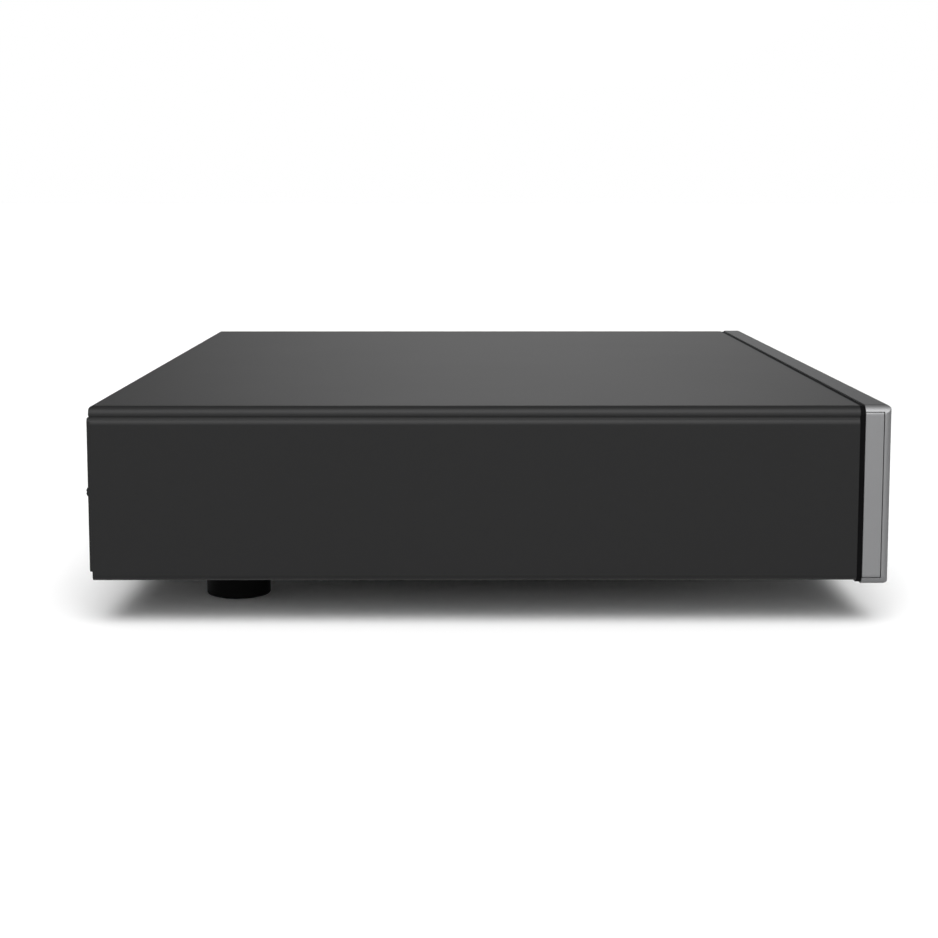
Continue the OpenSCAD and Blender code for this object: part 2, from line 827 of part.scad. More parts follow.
module front_subframe() {
    color(black_plastic) difference() {
        union() {
            translate([0, 0, mid_z]) along_y(subframe_y, case_y)
                rrect(case_w - 2 * subframe_step, fascia_h - 2 * subframe_step, fascia_r - subframe_step);
            for (s = [-1, 1], z = end_screw_z)
                rod_y(s * end_screw_x, z, boss_r, subframe_y - drill - cut, subframe_y + cut);
            for (p = control_posts) rod_y(p[0], p[1], boss_r, case_y - cut, control_y);
            translate([knob_x, 0, mid_z]) along_y(encoder_y - nut_seat, subframe_y + cut)
                rrect(encoder_pocket + 2 * encoder_wall, encoder_pocket + 2 * encoder_wall, encoder_wall);
        }
        for (s = [-1, 1], z = end_screw_z)
            rod_y(s * end_screw_x, z, screw_hole_r, subframe_y - drill, case_y + cut);
        for (s = [-1, 1], z = fascia_screw_z)
            rod_y(s * fascia_screw_x, z, screw_hole_r, subframe_y - cut, case_y + cut);
        for (p = control_posts)
            rod_y(p[0], p[1], screw_hole_r, control_y - control_screw_len + cut / 2, control_y + cut);
        // Encoder pocket and the hole for its bushing
        translate([knob_x, 0, mid_z]) along_y(encoder_y, case_y + cut)
            square(encoder_pocket, center = true);
        rod_y(knob_x, mid_z, bushing_r + 0.15, encoder_y - nut_seat - cut, encoder_y + cut);
        along_y(subframe_y - cut, case_y + cut) {
            for (s = [-1, 1], i = [-1:1]) translate([s * key_x, mid_z + i * key_pitch])
                square(switch_size + cut, center = true);
            translate([standby_x, mid_z]) square(switch_size + cut, center = true);
            translate([standby_x, led_z]) circle(led_r + 0.8);
            translate([usb_x, ir_z]) square(ir_h + cut, center = true);
            translate([usb_x, usb_z]) square([usb_w + 1, usb_h + 1], center = true);
            translate([0, ribbon_z]) square([ribbon_w + 2 * header_wall, header_h], center = true);
        }
    }
}

// Foot at the origin of X and Y
module foot() {
    h = floor_z - foot_z0;
    color(black_plastic) difference() {
        translate([0, 0, foot_z0]) rotate_extrude() {
            square([foot_r - foot_edge_r, h]);
            translate([0, foot_edge_r]) square([foot_r, h - foot_edge_r]);
            intersection() {
                translate([foot_r - foot_edge_r, foot_edge_r]) circle(foot_edge_r);
                square([foot_r, h]);
            }
        }
        translate([0, 0, -cut]) cylinder(r = pad_r + 0.1, h = pad_t + cut);
        translate([0, 0, -cut]) cylinder(r = screw_head_r + 0.6, h = foot_screw_z + cut);
        translate([0, 0, -cut]) cylinder(r = screw_hole_r, h = floor_z + 2 * cut);
    }
}

module rear_foot_left() {
    translate([-rear_foot_x, rear_foot_y, 0]) foot();
}

module rear_foot_right() {
    translate([rear_foot_x, rear_foot_y, 0]) foot();
}

module front_foot() {
    translate([0, front_foot_y, 0]) foot();
}

module foot_places() {
    for (s = [-1, 1]) translate([s * rear_foot_x, rear_foot_y, 0]) children();
    translate([0, front_foot_y, 0]) children();
}

module foot_pads() {
    color(rubber) foot_places() cylinder(r = pad_r, h = pad_t);
}

module case_screws() {
    color(steel * 0.3) {
        foot_places() translate([0, 0, foot_screw_z]) rotate([180, 0, 0]) pan_screw(foot_screw_len);
        for (s = [-1, 1]) {
            screw_y(s * side_screw_x, rear_y, side_screw_z, screw_len);
            for (z = end_screw_z) screw_y(s * end_screw_x, case_y + sheet_t, z, screw_len);
            for (z = fascia_screw_z) screw_y(s * fascia_screw_x, case_y, z, screw_len);
        }
        for (x = lip_screw_x) screw_y(x, rear_y, lip_screw_z, lip_screw_len);
        for (x = lid_screw_x) screw_y(x, rear_y, lid_screw_z, screw_len);
        for (x = xlr_x, s = [-1, 1])
            screw_y(x + s * xlr_screw_x, rear_y + xlr_flange_t, panel_mid - s * xlr_screw_z, screw_len);
    }
}

module display_window() {
    color([0.05, 0.06, 0.07]) translate([0, 0, mid_z]) {
        soft_block(window_w - 0.4, window_h - 0.4, window_r - 0.2, front_y + 0.2,
            wall_back_y + 0.6, 0.3);
        along_y(wall_back_y + 0.1, window_back_y)
            rrect(window_w + 2 * window_flange, window_h + 2 * window_flange, window_r + window_flange);
    }
}

module display_gasket() {
    color(rubber) translate([0, 0, mid_z]) along_y(window_back_y, module_y) difference() {
        rrect(window_w - 2, window_h - 2, window_r);
        rrect(window_w - 2 - 2 * gasket_w, window_h - 2 - 2 * gasket_w, 1);
    }
}

module display_module() {
    color([0.12, 0.13, 0.15]) translate([0, 0, mid_z]) along_y(module_y, subframe_y)
        rrect(window_w - 1, window_h - 1, 1);
}

// Key body behind its cap: the flange and the stem
module key_stem(x, z) {
    rod_y(x, z, stem_r, key_flange_y + 0.5, stem_end_y);
}

module small_key(side, row) {
    x = side * key_x;
    z = mid_z + row * key_pitch;
    w = key_w + 2 * key_flange;
    h = key_h + 2 * key_flange;
    color(silver) {
        translate([x, 0, z]) {
            soft_block(key_w, key_h, key_h / 2 - 0.1, front_y - key_out, key_flange_y + 0.5, key_edge_r);
            along_y(key_flange_y, key_flange_y + key_flange_t) rrect(w, h, key_h / 2);
        }
        key_stem(x, z);
    }
}

module menu_key() {
    small_key(-1, 1);
}

module back_key() {
    small_key(-1, 0);
}

module info_key() {
    small_key(-1, -1);
}

module previous_key() {
    small_key(1, 1);
}

module play_key() {
    small_key(1, 0);
}

module next_key() {
    small_key(1, -1);
}

module standby_key() {
    e = key_edge_r;
    color(silver) {
        translate([standby_x, front_y - key_out, mid_z]) rotate([-90, 0, 0]) rotate_extrude() {
            len = key_flange_y - front_y + key_out + 0.5;
            square([standby_r - e, len]);
            translate([0, e]) square([standby_r, len - e]);
            intersection() {
                translate([standby_r - e, e]) circle(e);
                square([standby_r, len]);
            }
        }
        rod_y(standby_x, mid_z, standby_r + key_flange, key_flange_y, key_flange_y + key_flange_t);
        key_stem(standby_x, mid_z);
    }
}

module tact_switch(x, z) {
    difference() {
        box([x - switch_size / 2, x + switch_size / 2], [switch_y, control_y],
            [z - switch_size / 2, z + switch_size / 2]);
        rod_y(x, z, stem_r + 0.3, switch_y - cut, stem_end_y + key_travel + 0.5);
    }
}

module tact_switches() {
    color(black_plastic) {
        for (s = [-1, 1], i = [-1:1]) tact_switch(s * key_x, mid_z + i * key_pitch);
        tact_switch(standby_x, mid_z);
    }
}

module control_board() {
    color(board_green) difference() {
        union() {
            box([control_x0, control_x1], [control_y, control_y + board_t],
                [fascia_z0 + control_margin, fascia_z1 - control_margin]);
            box([-ribbon_w / 2 - header_wall, ribbon_w / 2 + header_wall],
                [control_y + board_t / 2, control_y + board_t + header_d],
                [ribbon_z - header_h / 2, ribbon_z + header_h / 2]);
        }
        for (p = control_posts) rod_y(p[0], p[1], screw_hole_r, control_y - cut, control_y + board_t + cut);
        box([-ribbon_w / 2 - 0.3, ribbon_w / 2 + 0.3],
            [control_y + board_t + 1, control_y + board_t + header_d + cut],
            [ribbon_z - header_slot / 2, ribbon_z + header_slot / 2]);
    }
}

module standby_led() {
    color([0.75, 0.8, 0.85]) {
        rod_y(standby_x, led_z, led_r, front_y + led_r, control_y);
        translate([standby_x, front_y + led_r, led_z]) sphere(led_r);
        rod_y(standby_x, led_z, led_r + 0.5, control_y - 1, control_y);
    }
}

module ir_receiver() {
    color([0.1, 0.02, 0.03]) {
        rod_y(usb_x, ir_z, ir_r, front_y + 0.1, subframe_y);
        box([usb_x - ir_w / 2, usb_x + ir_w / 2], [subframe_y - 1, control_y],
            [ir_z - ir_h / 2, ir_z + ir_h / 2]);
    }
}

// Outline of a flat data socket's shell
module usb_section() {
    square([usb_w, usb_h], center = true);
}

module usb_opening() {
    square([usb_w - 2 * usb_wall, usb_h - 2 * usb_wall], center = true);
}

module front_usb_shell() {
    color(steel) difference() {
        translate([usb_x, 0, usb_z]) along_y(front_y + 0.2, control_y) usb_section();
        translate([usb_x, 0, usb_z]) along_y(front_y - cut, control_y - 1) usb_opening();
    }
}

module knob() {
    e = knob_edge_r;
    color(silver) difference() {
        translate([knob_x, knob_y0, mid_z]) rotate([-90, 0, 0]) rotate_extrude() {
            square([knob_r - e, knob_len]);
            translate([0, e]) square([knob_r, knob_len - 2 * e]);
            for (v = [e, knob_len - e]) intersection() {
                translate([knob_r - e, v]) circle(e);
                square([knob_r, knob_len]);
            }
        }
        rod_y(knob_x, mid_z, knob_r - knob_wall, hub_y0, front_y);
        // Shallow dish in the face
        translate([knob_x, knob_y0 + knob_dish - knob_dish_r, mid_z]) sphere(knob_dish_r, $fn = 128);
    }
}

// Shaft outline with a flat, grown by a gap
module d_section(gap) {
    intersection() {
        circle(shaft_r + gap);
        translate([0, -shaft_flat]) square([4 * shaft_r, 2 * shaft_r + 2 * gap], center = true);
    }
}

module knob_hub() {
    color(black_plastic) difference() {
        rod_y(knob_x, mid_z, knob_r - knob_wall - 0.05, hub_y0, front_y - knob_gap - 1);
        translate([knob_x, 0, mid_z]) along_y(hub_y0 + 1, front_y) d_section(0.05);
    }
}

module encoder_shaft() {
    color(steel) {
        rod_y(knob_x, mid_z, shaft_r, front_y - knob_gap - 0.5, plunger_y - 0.05);
        translate([knob_x, 0, mid_z]) along_y(hub_y0 + 1.2, front_y) d_section(0);
        rod_y(knob_x, mid_z, shaft_r + collar_out, collar_y, plunger_y - 0.05);
    }
}

module encoder_plunger() {
    color(black_plastic) rod_y(knob_x, mid_z, shaft_r + collar_out, plunger_y, plunger_y + plunger_t);
}

module encoder_body() {
    color([0.25, 0.25, 0.27]) difference() {
        union() {
            box([knob_x - encoder_w / 2, knob_x + encoder_w / 2], [encoder_y, control_y],
                [mid_z - encoder_h / 2, mid_z + encoder_h / 2]);
            rod_y(knob_x, mid_z, bushing_r, front_y + 1.6, encoder_y + 1);
        }
        rod_y(knob_x, mid_z, shaft_r + shaft_clear, front_y, collar_y);
        rod_y(knob_x, mid_z, shaft_r + collar_out + 0.3, collar_y - 0.3,
            plunger_y + plunger_t + knob_travel + 0.3);
    }
}

module encoder_nut() {
    color(steel) difference() {
        translate([knob_x, encoder_y - nut_seat, mid_z]) rotate([90, 0, 0])
            cylinder(r = nut_r, h = nut_t, $fn = 6);
        rod_y(knob_x, mid_z, bushing_r + 0.05, front_y, encoder_y);
    }
}

// Mouth of the mains inlet, with its two upper corners cut off
module inlet_mouth() {
    w = inlet_cavity_w / 2;
    h = inlet_cavity_h / 2;
    c = inlet_corner;
    polygon([[-w, -h], [w, -h], [w, h - c], [w - c, h], [c - w, h], [-w, h - c]]);
}

module mains_inlet() {
    color(black_plastic) translate([inlet_x, 0, panel_mid]) difference() {
        union() {
            along_y(inlet_floor_y - inlet_back, rear_y + 0.5) rrect(inlet_w, inlet_h, inlet_r);
            along_y(rear_y, rear_y + inlet_flange_t)
                rrect(inlet_w + 2 * inlet_flange, inlet_h + 2 * inlet_flange, inlet_r + inlet_flange / 2);
        }
        along_y(inlet_floor_y, rear_y + inlet_flange_t + cut) inlet_mouth();
        along_y(inlet_floor_y - inlet_back - cut, inlet_floor_y + cut) for (p = inlet_pins)
            translate(p) square([inlet_pin_w + 0.1, inlet_pin_h + 0.1], center = true);
    }
}

module mains_pins() {
    color(steel) translate([inlet_x, 0, panel_mid])
        along_y(inlet_floor_y - inlet_tail, rear_y + inlet_flange_t - inlet_back)
            for (p = inlet_pins) translate(p) square([inlet_pin_w, inlet_pin_h], center = true);
}

module power_switch() {
    color(black_plastic) translate([switch_x, 0, panel_mid]) difference() {
        union() {
            along_y(switch_back_y, rear_y + 0.5) square([switch_w, switch_hgt], center = true);
            along_y(rear_y, rear_y + switch_bezel_t)
                rrect(switch_w + 2 * switch_bezel, switch_hgt + 2 * switch_bezel, switch_bezel);
            for (z = [-switch_tab_z, switch_tab_z])
                box([-switch_tab_w / 2, switch_tab_w / 2],
                    [switch_back_y - switch_tab_len, switch_back_y + cut],
                    [z - switch_tab_t / 2, z + switch_tab_t / 2]);
        }
        along_y(rocker_y - rocker_r - 0.6, rear_y + switch_bezel_t + cut)
            square([rocker_w + 0.6, 2 * rocker_r + 0.7], center = true);
        translate([-pivot_len / 2 - 0.2, rocker_y, 0]) rotate([0, 90, 0])
            cylinder(r = pivot_r + 0.05, h = pivot_len + 0.4);
    }
}

// The rocker stands with its upper half pressed in
module power_rocker() {
    color([0.1, 0.1, 0.11]) translate([switch_x, rocker_y, panel_mid]) rotate([rocker_tilt, 0, 0]) {
        along_x(-rocker_w / 2, rocker_w / 2) intersection() {
            circle(rocker_r);
            polygon([[-rocker_back, -rocker_end], [rocker_crest, -rocker_end], [rocker_dip, 0],
                [rocker_crest, rocker_end], [-rocker_back, rocker_end]]);
        }
        translate([-pivot_len / 2, 0, 0]) rotate([0, 90, 0]) cylinder(r = pivot_r, h = pivot_len);
    }
}

module phono_blocks() {
    color(black_plastic) difference() {
        for (x = phono_x)
            box([x - phono_block_w / 2, x + phono_block_w / 2], [panel_y - phono_block_d, panel_y],
                [board_top, phono_z[1] + phono_block_top]);
        for (x = phono_x, z = phono_z)
            rod_y(x, z, phono_r + 0.1, panel_y - phono_seat, panel_y + cut);
    }
}

module phono_barrels() {
    color(gold) for (x = phono_x, z = phono_z) difference() {
        union() {
            rod_y(x, z, phono_r, panel_y - phono_seat, rear_y + jack_reach);
            rod_y(x, z, phono_flange_r, rear_y, rear_y + phono_flange_t);
        }
        rod_y(x, z, phono_inner_r, panel_y - phono_seat - cut, rear_y + jack_reach + cut);
    }
}

module phono_insulators() {
    color([0.9, 0.9, 0.88]) for (x = phono_x, z = phono_z) difference() {
        rod_y(x, z, phono_inner_r - 0.05, panel_y - phono_seat, rear_y + jack_reach - phono_step);
        rod_y(x, z, phono_bore_r, rear_y - phono_flange_t, rear_y + jack_reach);
    }
}

module xlr_shells() {
    color([0.2, 0.2, 0.21]) for (x = xlr_x) translate([x, 0, panel_mid]) difference() {
        union() {
            along_y(rear_y, rear_y + xlr_flange_t) rrect(xlr_flange_w, xlr_flange_h, xlr_flange_r);
            rod_y(0, 0, xlr_body_r, rear_y - xlr_d, rear_y + 0.5);
        }
        rod_y(0, 0, xlr_cavity_r, rear_y - xlr_d - cut, rear_y + xlr_flange_t + cut);
        for (s = [-1, 1])
            rod_y(s * xlr_screw_x, -s * xlr_screw_z, screw_hole_r, rear_y - cut, rear_y + drill);
    }
}

module xlr_inserts() {
    color(black_plastic) for (x = xlr_x) translate([x, 0, panel_mid]) difference() {
        rod_y(0, 0, xlr_cavity_r - 0.05, rear_y - xlr_d, xlr_floor_y);
        for (p = xlr_pins_at) rod_y(p[0], p[1], xlr_pin_r + 0.05, rear_y - xlr_d - cut, xlr_floor_y + cut);
    }
}

module xlr_pins() {
    color(gold) for (x = xlr_x, p = xlr_pins_at)
        rod_y(x + p[0], panel_mid + p[1], xlr_pin_r, rear_y - xlr_d - xlr_tail, rear_y - 0.5);
}

module optical_sockets() {
    color(black_plastic) difference() {
        union() {
            for (x = optical_x)
                box([x - optical_w / 2, x + optical_w / 2], [rear_y - optical_d, rear_y + optical_out],
                    [board_top, board_top + optical_h]);
            // Bezel that joins the two sockets over their cut-out
            along_y(rear_y, rear_y + optical_bezel_t) translate([optical_mid, board_top + optical_h / 2])
                rrect(optical_span + 2 * optical_bezel, optical_h + 2 * optical_bezel, optical_bezel_r);
        }
        for (x = optical_x) {
            box([x - optical_mouth_w / 2, x + optical_mouth_w / 2],
                [optical_floor_y, rear_y + optical_out + cut],
                [board_top + optical_floor_t, board_top + optical_h - optical_roof_t]);
            translate([x - shutter_pin_len / 2 - 0.1, shutter_y, shutter_z]) rotate([0, 90, 0])
                cylinder(r = shutter_pin_r + 0.05, h = shutter_pin_len + 0.2);
        }
    }
}

// Spring flap that swings inwards about its upper edge
module shutter(x) {
    color([0.18, 0.18, 0.19]) {
        box([x - shutter_w / 2, x + shutter_w / 2], [shutter_y - shutter_t / 2, shutter_y + shutter_t / 2],
            [shutter_z0, shutter_z + 0.4]);
        translate([x - shutter_pin_len / 2, shutter_y, shutter_z]) rotate([0, 90, 0])
            cylinder(r = shutter_pin_r, h = shutter_pin_len);
    }
}

module optical_in_shutter() {
    shutter(optical_x[0]);
}

module optical_out_shutter() {
    shutter(optical_x[1]);
}

// Mouth of the square data socket, with its two upper corners cut off
module usb_b_opening() {
    w = usb_b_mouth_w / 2;
    h = usb_b_mouth_h / 2;
    c = usb_b_corner;
    polygon([[-w, -h], [w, -h], [w, h - c], [w - c, h], [c - w, h], [-w, h - c]]);
}

module usb_shells() {
    color(steel) {
        translate([usb_a_x, 0, board_top + usb_h / 2]) difference() {
            along_y(rear_y - usb_d, rear_y + usb_out) usb_section();
            along_y(rear_y - usb_d + 1, rear_y + usb_out + cut) usb_opening();
        }
        translate([usb_b_x, 0, board_top + usb_b_h / 2]) difference() {
            along_y(rear_y - usb_b_d, rear_y + usb_out) square([usb_b_w, usb_b_h], center = true);
            along_y(rear_y - usb_b_d + 1, rear_y + usb_out + cut) usb_b_opening();
        }
    }
}

module usb_tongues() {
    color([0.85, 0.86, 0.88]) {
        translate([usb_x, 0, usb_z + usb_tongue_rise]) along_y(front_y + 1.6, control_y - 1)
            square([usb_tongue_w, usb_tongue_t], center = true);
        translate([usb_a_x, 0, board_top + usb_h / 2 + usb_tongue_rise])
            along_y(rear_y - usb_d + 1, rear_y - 1) square([usb_tongue_w, usb_tongue_t], center = true);
        translate([usb_b_x, 0, board_top + usb_b_h / 2]) along_y(rear_y - usb_b_d + 1, rear_y - 1)
            square([usb_b_tongue_w, usb_b_tongue_t], center = true);
    }
}

module ethernet_jack() {
    color(steel) difference() {
        box([ethernet_x - ethernet_w / 2, ethernet_x + ethernet_w / 2],
            [rear_y - ethernet_d, rear_y + ethernet_out], [board_top, board_top + ethernet_h]);
        translate([ethernet_x, 0, board_top])
            along_y(rear_y - ethernet_mouth_d, rear_y + ethernet_out + cut) {
                translate([-ethernet_mouth_w / 2, ethernet_mouth_z])
                    square([ethernet_mouth_w, ethernet_mouth_h]);
                translate([-latch_w / 2, latch_z]) square([latch_w, ethernet_mouth_z - latch_z + cut]);
            }
    }
}

module control_jacks() {
    color(black_plastic) for (x = control_x) difference() {
        union() {
            box([x - control_w / 2, x + control_w / 2], [rear_y - control_d, panel_y],
                [board_top, board_top + control_h]);
            rod_y(x, control_z, control_nose_r, panel_y - cut, rear_y + control_nose);
        }
        rod_y(x, control_z, control_bore_r, rear_y - control_bore_d, rear_y + control_nose + cut);
    }
}

module main_board() {
    color(board_green) difference() {
        union() {
            box([main_x0, main_x1], [main_y0, main_y1], [board_z, board_top]);
            box([-ribbon_w / 2 - header_wall, ribbon_w / 2 + header_wall],
                [ribbon_y1 - header_h / 2, ribbon_y1 + header_h / 2],
                [board_top - 0.5, board_top + header_d]);
        }
        for (p = main_posts) translate([p[0], p[1], board_z - cut])
            cylinder(r = screw_hole_r, h = board_t + 2 * cut);
        box([-ribbon_w / 2 - 0.3, ribbon_w / 2 + 0.3],
            [ribbon_y1 - header_slot / 2, ribbon_y1 + header_slot / 2],
            [board_top + 1, board_top + header_d + cut]);
    }
}

// Chip on the main board whose rear edge lies y in front of the board's
module chip(x, y, w, d) {
    box([x - w / 2, x + w / 2], [main_y1 - y - d, main_y1 - y], [board_top, board_top + chip_t]);
}

module signal_chips() {
    color([0.08, 0.08, 0.085]) {
        for (x = phono_x) chip(x, dac_chip_y, dac_chip_w, dac_chip_d);
        chip(ethernet_x, link_chip_y, link_chip_w, link_chip_w);
        for (x = xlr_x) chip(x, buffer_chip_y, buffer_chip_w, buffer_chip_d);
    }
}

module capacitors() {
    color([0.12, 0.14, 0.2]) {
        for (x = xlr_x, i = [0:2])
            translate([x, main_y1 - can_y - can_pitch * i, board_top]) cylinder(r = can_r, h = can_h);
        for (i = [0:1])
            translate([power_x0 + mains_can_x, power_y1 - mains_can_y - mains_can_pitch * i, board_top])
                cylinder(r = mains_can_r, h = mains_can_h);
    }
}

module network_module() {
    x = usb_b_x;
    y = main_y1 - radio_y;
    z = board_top + radio_rise;
    w = radio_w / 2 - radio_rim;
    d = radio_d / 2 - radio_rim;
    color([0.55, 0.56, 0.58]) {
        box([x - radio_w / 2, x + radio_w / 2], [y - radio_d / 2, y + radio_d / 2], [z, z + radio_t]);
        box([x - w, x + w], [y - d, y + d], [z + radio_t / 2, z + radio_t + radio_can_h]);
        for (s = [-1, 1]) translate([0, s * d, 0])
            box([x - radio_pins_w / 2, x + radio_pins_w / 2], [y - radio_pins_d / 2, y + radio_pins_d / 2],
                [board_top, z + radio_t / 2]);
    }
}

module power_board() {
    color(board_green) difference() {
        union() {
            box([power_x0, power_x1], [power_y0, power_y1], [board_z, board_top]);
            box([inlet_x - terminal_over, switch_x + terminal_over],
                [power_y1 - terminal_y - terminal_d, power_y1 - terminal_y],
                [board_z + board_t / 2, board_top + terminal_h]);
        }
        for (p = power_posts) translate([p[0], p[1], board_z - cut])
            cylinder(r = screw_hole_r, h = board_t + 2 * cut);
    }
}

module transformer() {
    x = power_x1 - core_in;
    y = power_y0 + core_in;
    color([0.3, 0.26, 0.12]) {
        box([x - coil_w / 2, x + coil_w / 2], [y - coil_d / 2, y + coil_d / 2],
            [board_top, board_top + coil_h]);
        box([x - core_w / 2, x + core_w / 2], [y - core_d / 2, y + core_d / 2],
            [board_top, board_top + core_h]);
    }
}

module board_standoffs() {
    color(gold) for (p = concat(main_posts, power_posts)) translate([p[0], p[1], 0]) difference() {
        translate([0, 0, floor_top]) cylinder(r = post_r, h = standoff_h);
        translate([0, 0, board_z - board_screw_len]) cylinder(r = screw_hole_r, h = board_screw_len + cut);
    }
}

module board_screws() {
    color(steel) {
        for (p = concat(main_posts, power_posts))
            translate([p[0], p[1], board_top]) pan_screw(board_screw_len);
        for (p = control_posts) screw_y(p[0], control_y + board_t, p[1], control_screw_len);
    }
}

// Flat cable from the control board's header, back and down into the main board's
module ribbon_cable() {
    y0 = control_y + board_t + 1.5;
    y1 = ribbon_y1;
    z0 = board_top + 1.5;
    z1 = ribbon_z;
    r = ribbon_bend_r;
    color([0.75, 0.75, 0.73]) along_x(-ribbon_w / 2, ribbon_w / 2) {
        translate([y0, z1 - ribbon_t / 2]) square([y1 - r - y0, ribbon_t]);
        translate([y1 - ribbon_t / 2, z0]) square([ribbon_t, z1 - r - z0]);
        intersection() {
            translate([y1 - r, z1 - r]) difference() {
                circle(r + ribbon_t / 2);
                circle(r - ribbon_t / 2);
            }
            translate([y1 - r, z1 - r]) square(2 * r);
        }
    }
}

// Straight length of wire between two points
module wire_run(a, b) {
    v = b - a;
    translate(a) rotate([0, acos(v[2] / norm(v)), atan2(v[1], v[0])]) cylinder(r = wire_r, h = norm(v));
}

// Wire through a list of points, with round corners
module wire(p) {
    for (i = [1:len(p) - 1]) wire_run(p[i - 1], p[i]);
    for (i = [1:len(p) - 2]) translate(p[i]) sphere(wire_r + 0.15);
}

module mains_wiring() {
    live_x = inlet_x + inlet_pins[1][0];
    neutral_x = inlet_x + inlet_pins[2][0];
    tail_y = inlet_floor_y - inlet_tail;
    turn_y = tail_y - wire_step;
    tab_y = switch_back_y - switch_tab_len;
    term_y = power_y1 - terminal_y - terminal_d / 2;
    term_z = board_top + terminal_h;
    pin_z = panel_mid + inlet_pins[1][1];
    low_z = pin_z - switch_tab_z;
    color([0.35, 0.2, 0.12]) {
        wire([[live_x, tail_y, pin_z], [live_x, turn_y, pin_z], [live_x, turn_y, low_z],
            [switch_x, turn_y, low_z], [switch_x, tab_y, panel_mid - switch_tab_z]]);
        wire([[switch_x, tab_y, panel_mid + switch_tab_z], [switch_x, term_y, panel_mid + switch_tab_z],
            [switch_x, term_y, term_z]]);
        wire([[neutral_x, tail_y, pin_z], [neutral_x, term_y, pin_z], [neutral_x, term_y, term_z]]);
    }
}

chassis();
top_cover();
rear_panel();
fascia();
end_cap_left();
end_cap_right();
front_subframe();
rear_foot_left();
rear_foot_right();
front_foot();
foot_pads();
case_screws();
display_window();
display_gasket();
display_module();
standby_key();
menu_key();
back_key();
info_key();
previous_key();
play_key();
next_key();
tact_switches();
control_board();
standby_led();
ir_receiver();
front_usb_shell();
knob();
knob_hub();
encoder_shaft();
encoder_plunger();
encoder_body();
encoder_nut();
mains_inlet();
mains_pins();
power_switch();
power_rocker();
phono_blocks();
phono_barrels();
phono_insulators();
xlr_shells();
xlr_inserts();
xlr_pins();
optical_sockets();
optical_in_shutter();
optical_out_shutter();
usb_shells();
usb_tongues();
ethernet_jack();
control_jacks();
main_board();
signal_chips();
capacitors();
network_module();
power_board();
transformer();
board_standoffs();
board_screws();
ribbon_cable();
mains_wiring();
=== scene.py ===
"""Finishes the network music streamer: painted case, fascia, controls, sockets and a plain studio."""
import json
import math

import bmesh
import bpy
import numpy as np
from bpy.props import FloatProperty, FloatVectorProperty, IntProperty, PointerProperty
from bpy.types import Operator, Panel, PropertyGroup, Scene
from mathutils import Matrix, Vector

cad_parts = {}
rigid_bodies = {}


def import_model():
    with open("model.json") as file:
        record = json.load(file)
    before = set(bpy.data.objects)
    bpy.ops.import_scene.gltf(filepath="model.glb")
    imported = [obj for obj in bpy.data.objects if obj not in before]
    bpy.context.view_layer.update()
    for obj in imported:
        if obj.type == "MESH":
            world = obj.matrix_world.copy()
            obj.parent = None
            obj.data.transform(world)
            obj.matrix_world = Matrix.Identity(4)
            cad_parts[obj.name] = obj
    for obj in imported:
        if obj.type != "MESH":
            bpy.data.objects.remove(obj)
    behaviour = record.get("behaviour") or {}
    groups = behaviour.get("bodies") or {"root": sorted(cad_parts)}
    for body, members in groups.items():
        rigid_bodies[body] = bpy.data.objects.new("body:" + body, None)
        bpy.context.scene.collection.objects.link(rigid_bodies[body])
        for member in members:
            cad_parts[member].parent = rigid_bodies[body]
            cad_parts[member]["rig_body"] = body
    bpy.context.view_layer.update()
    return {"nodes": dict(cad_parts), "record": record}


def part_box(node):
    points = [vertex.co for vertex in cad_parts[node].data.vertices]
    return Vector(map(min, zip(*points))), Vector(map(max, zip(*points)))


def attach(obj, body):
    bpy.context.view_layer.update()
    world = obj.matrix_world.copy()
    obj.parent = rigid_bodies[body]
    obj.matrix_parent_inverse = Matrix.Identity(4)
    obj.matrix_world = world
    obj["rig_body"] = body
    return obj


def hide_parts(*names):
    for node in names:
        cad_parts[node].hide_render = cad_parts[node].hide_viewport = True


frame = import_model()

bl_info = {
    "name": "Network music streamer",
    "version": (1, 0, 0),
    "blender": (4, 5, 0),
    "location": "View3D > Sidebar > Streamer",
    "description": "Finishes the case, fascia, controls and sockets of a full-width network music streamer",
    "category": "Object",
}

MM = 0.001
# Angle in degrees from which an edge counts as sharp
SHARP = 35
# How far a printed mark starts inside its surface, in millimetres
SINK = 0.01
FRONT = np.array([0.0, -1.0, 0.0])
BACK = np.array([0.0, 1.0, 0.0])
DOWN = np.array([0.0, 0.0, -1.0])
FEET = ("rear_foot_left", "rear_foot_right", "front_foot")


def span(node):
    """Lowest and highest corner of a solid, in millimetres."""
    low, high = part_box(node)
    return np.array(low) / MM, np.array(high) / MM


def middle(node):
    """Middle of a solid's box, in millimetres."""
    low, high = span(node)
    return (low + high) / 2


REAR_Y = span("rear_panel")[1][1]
SLOT_OF = {part["node"]: part["material_slot"] for part in frame["record"]["subparts"]}


# ---------------------------------------------------------------- settings

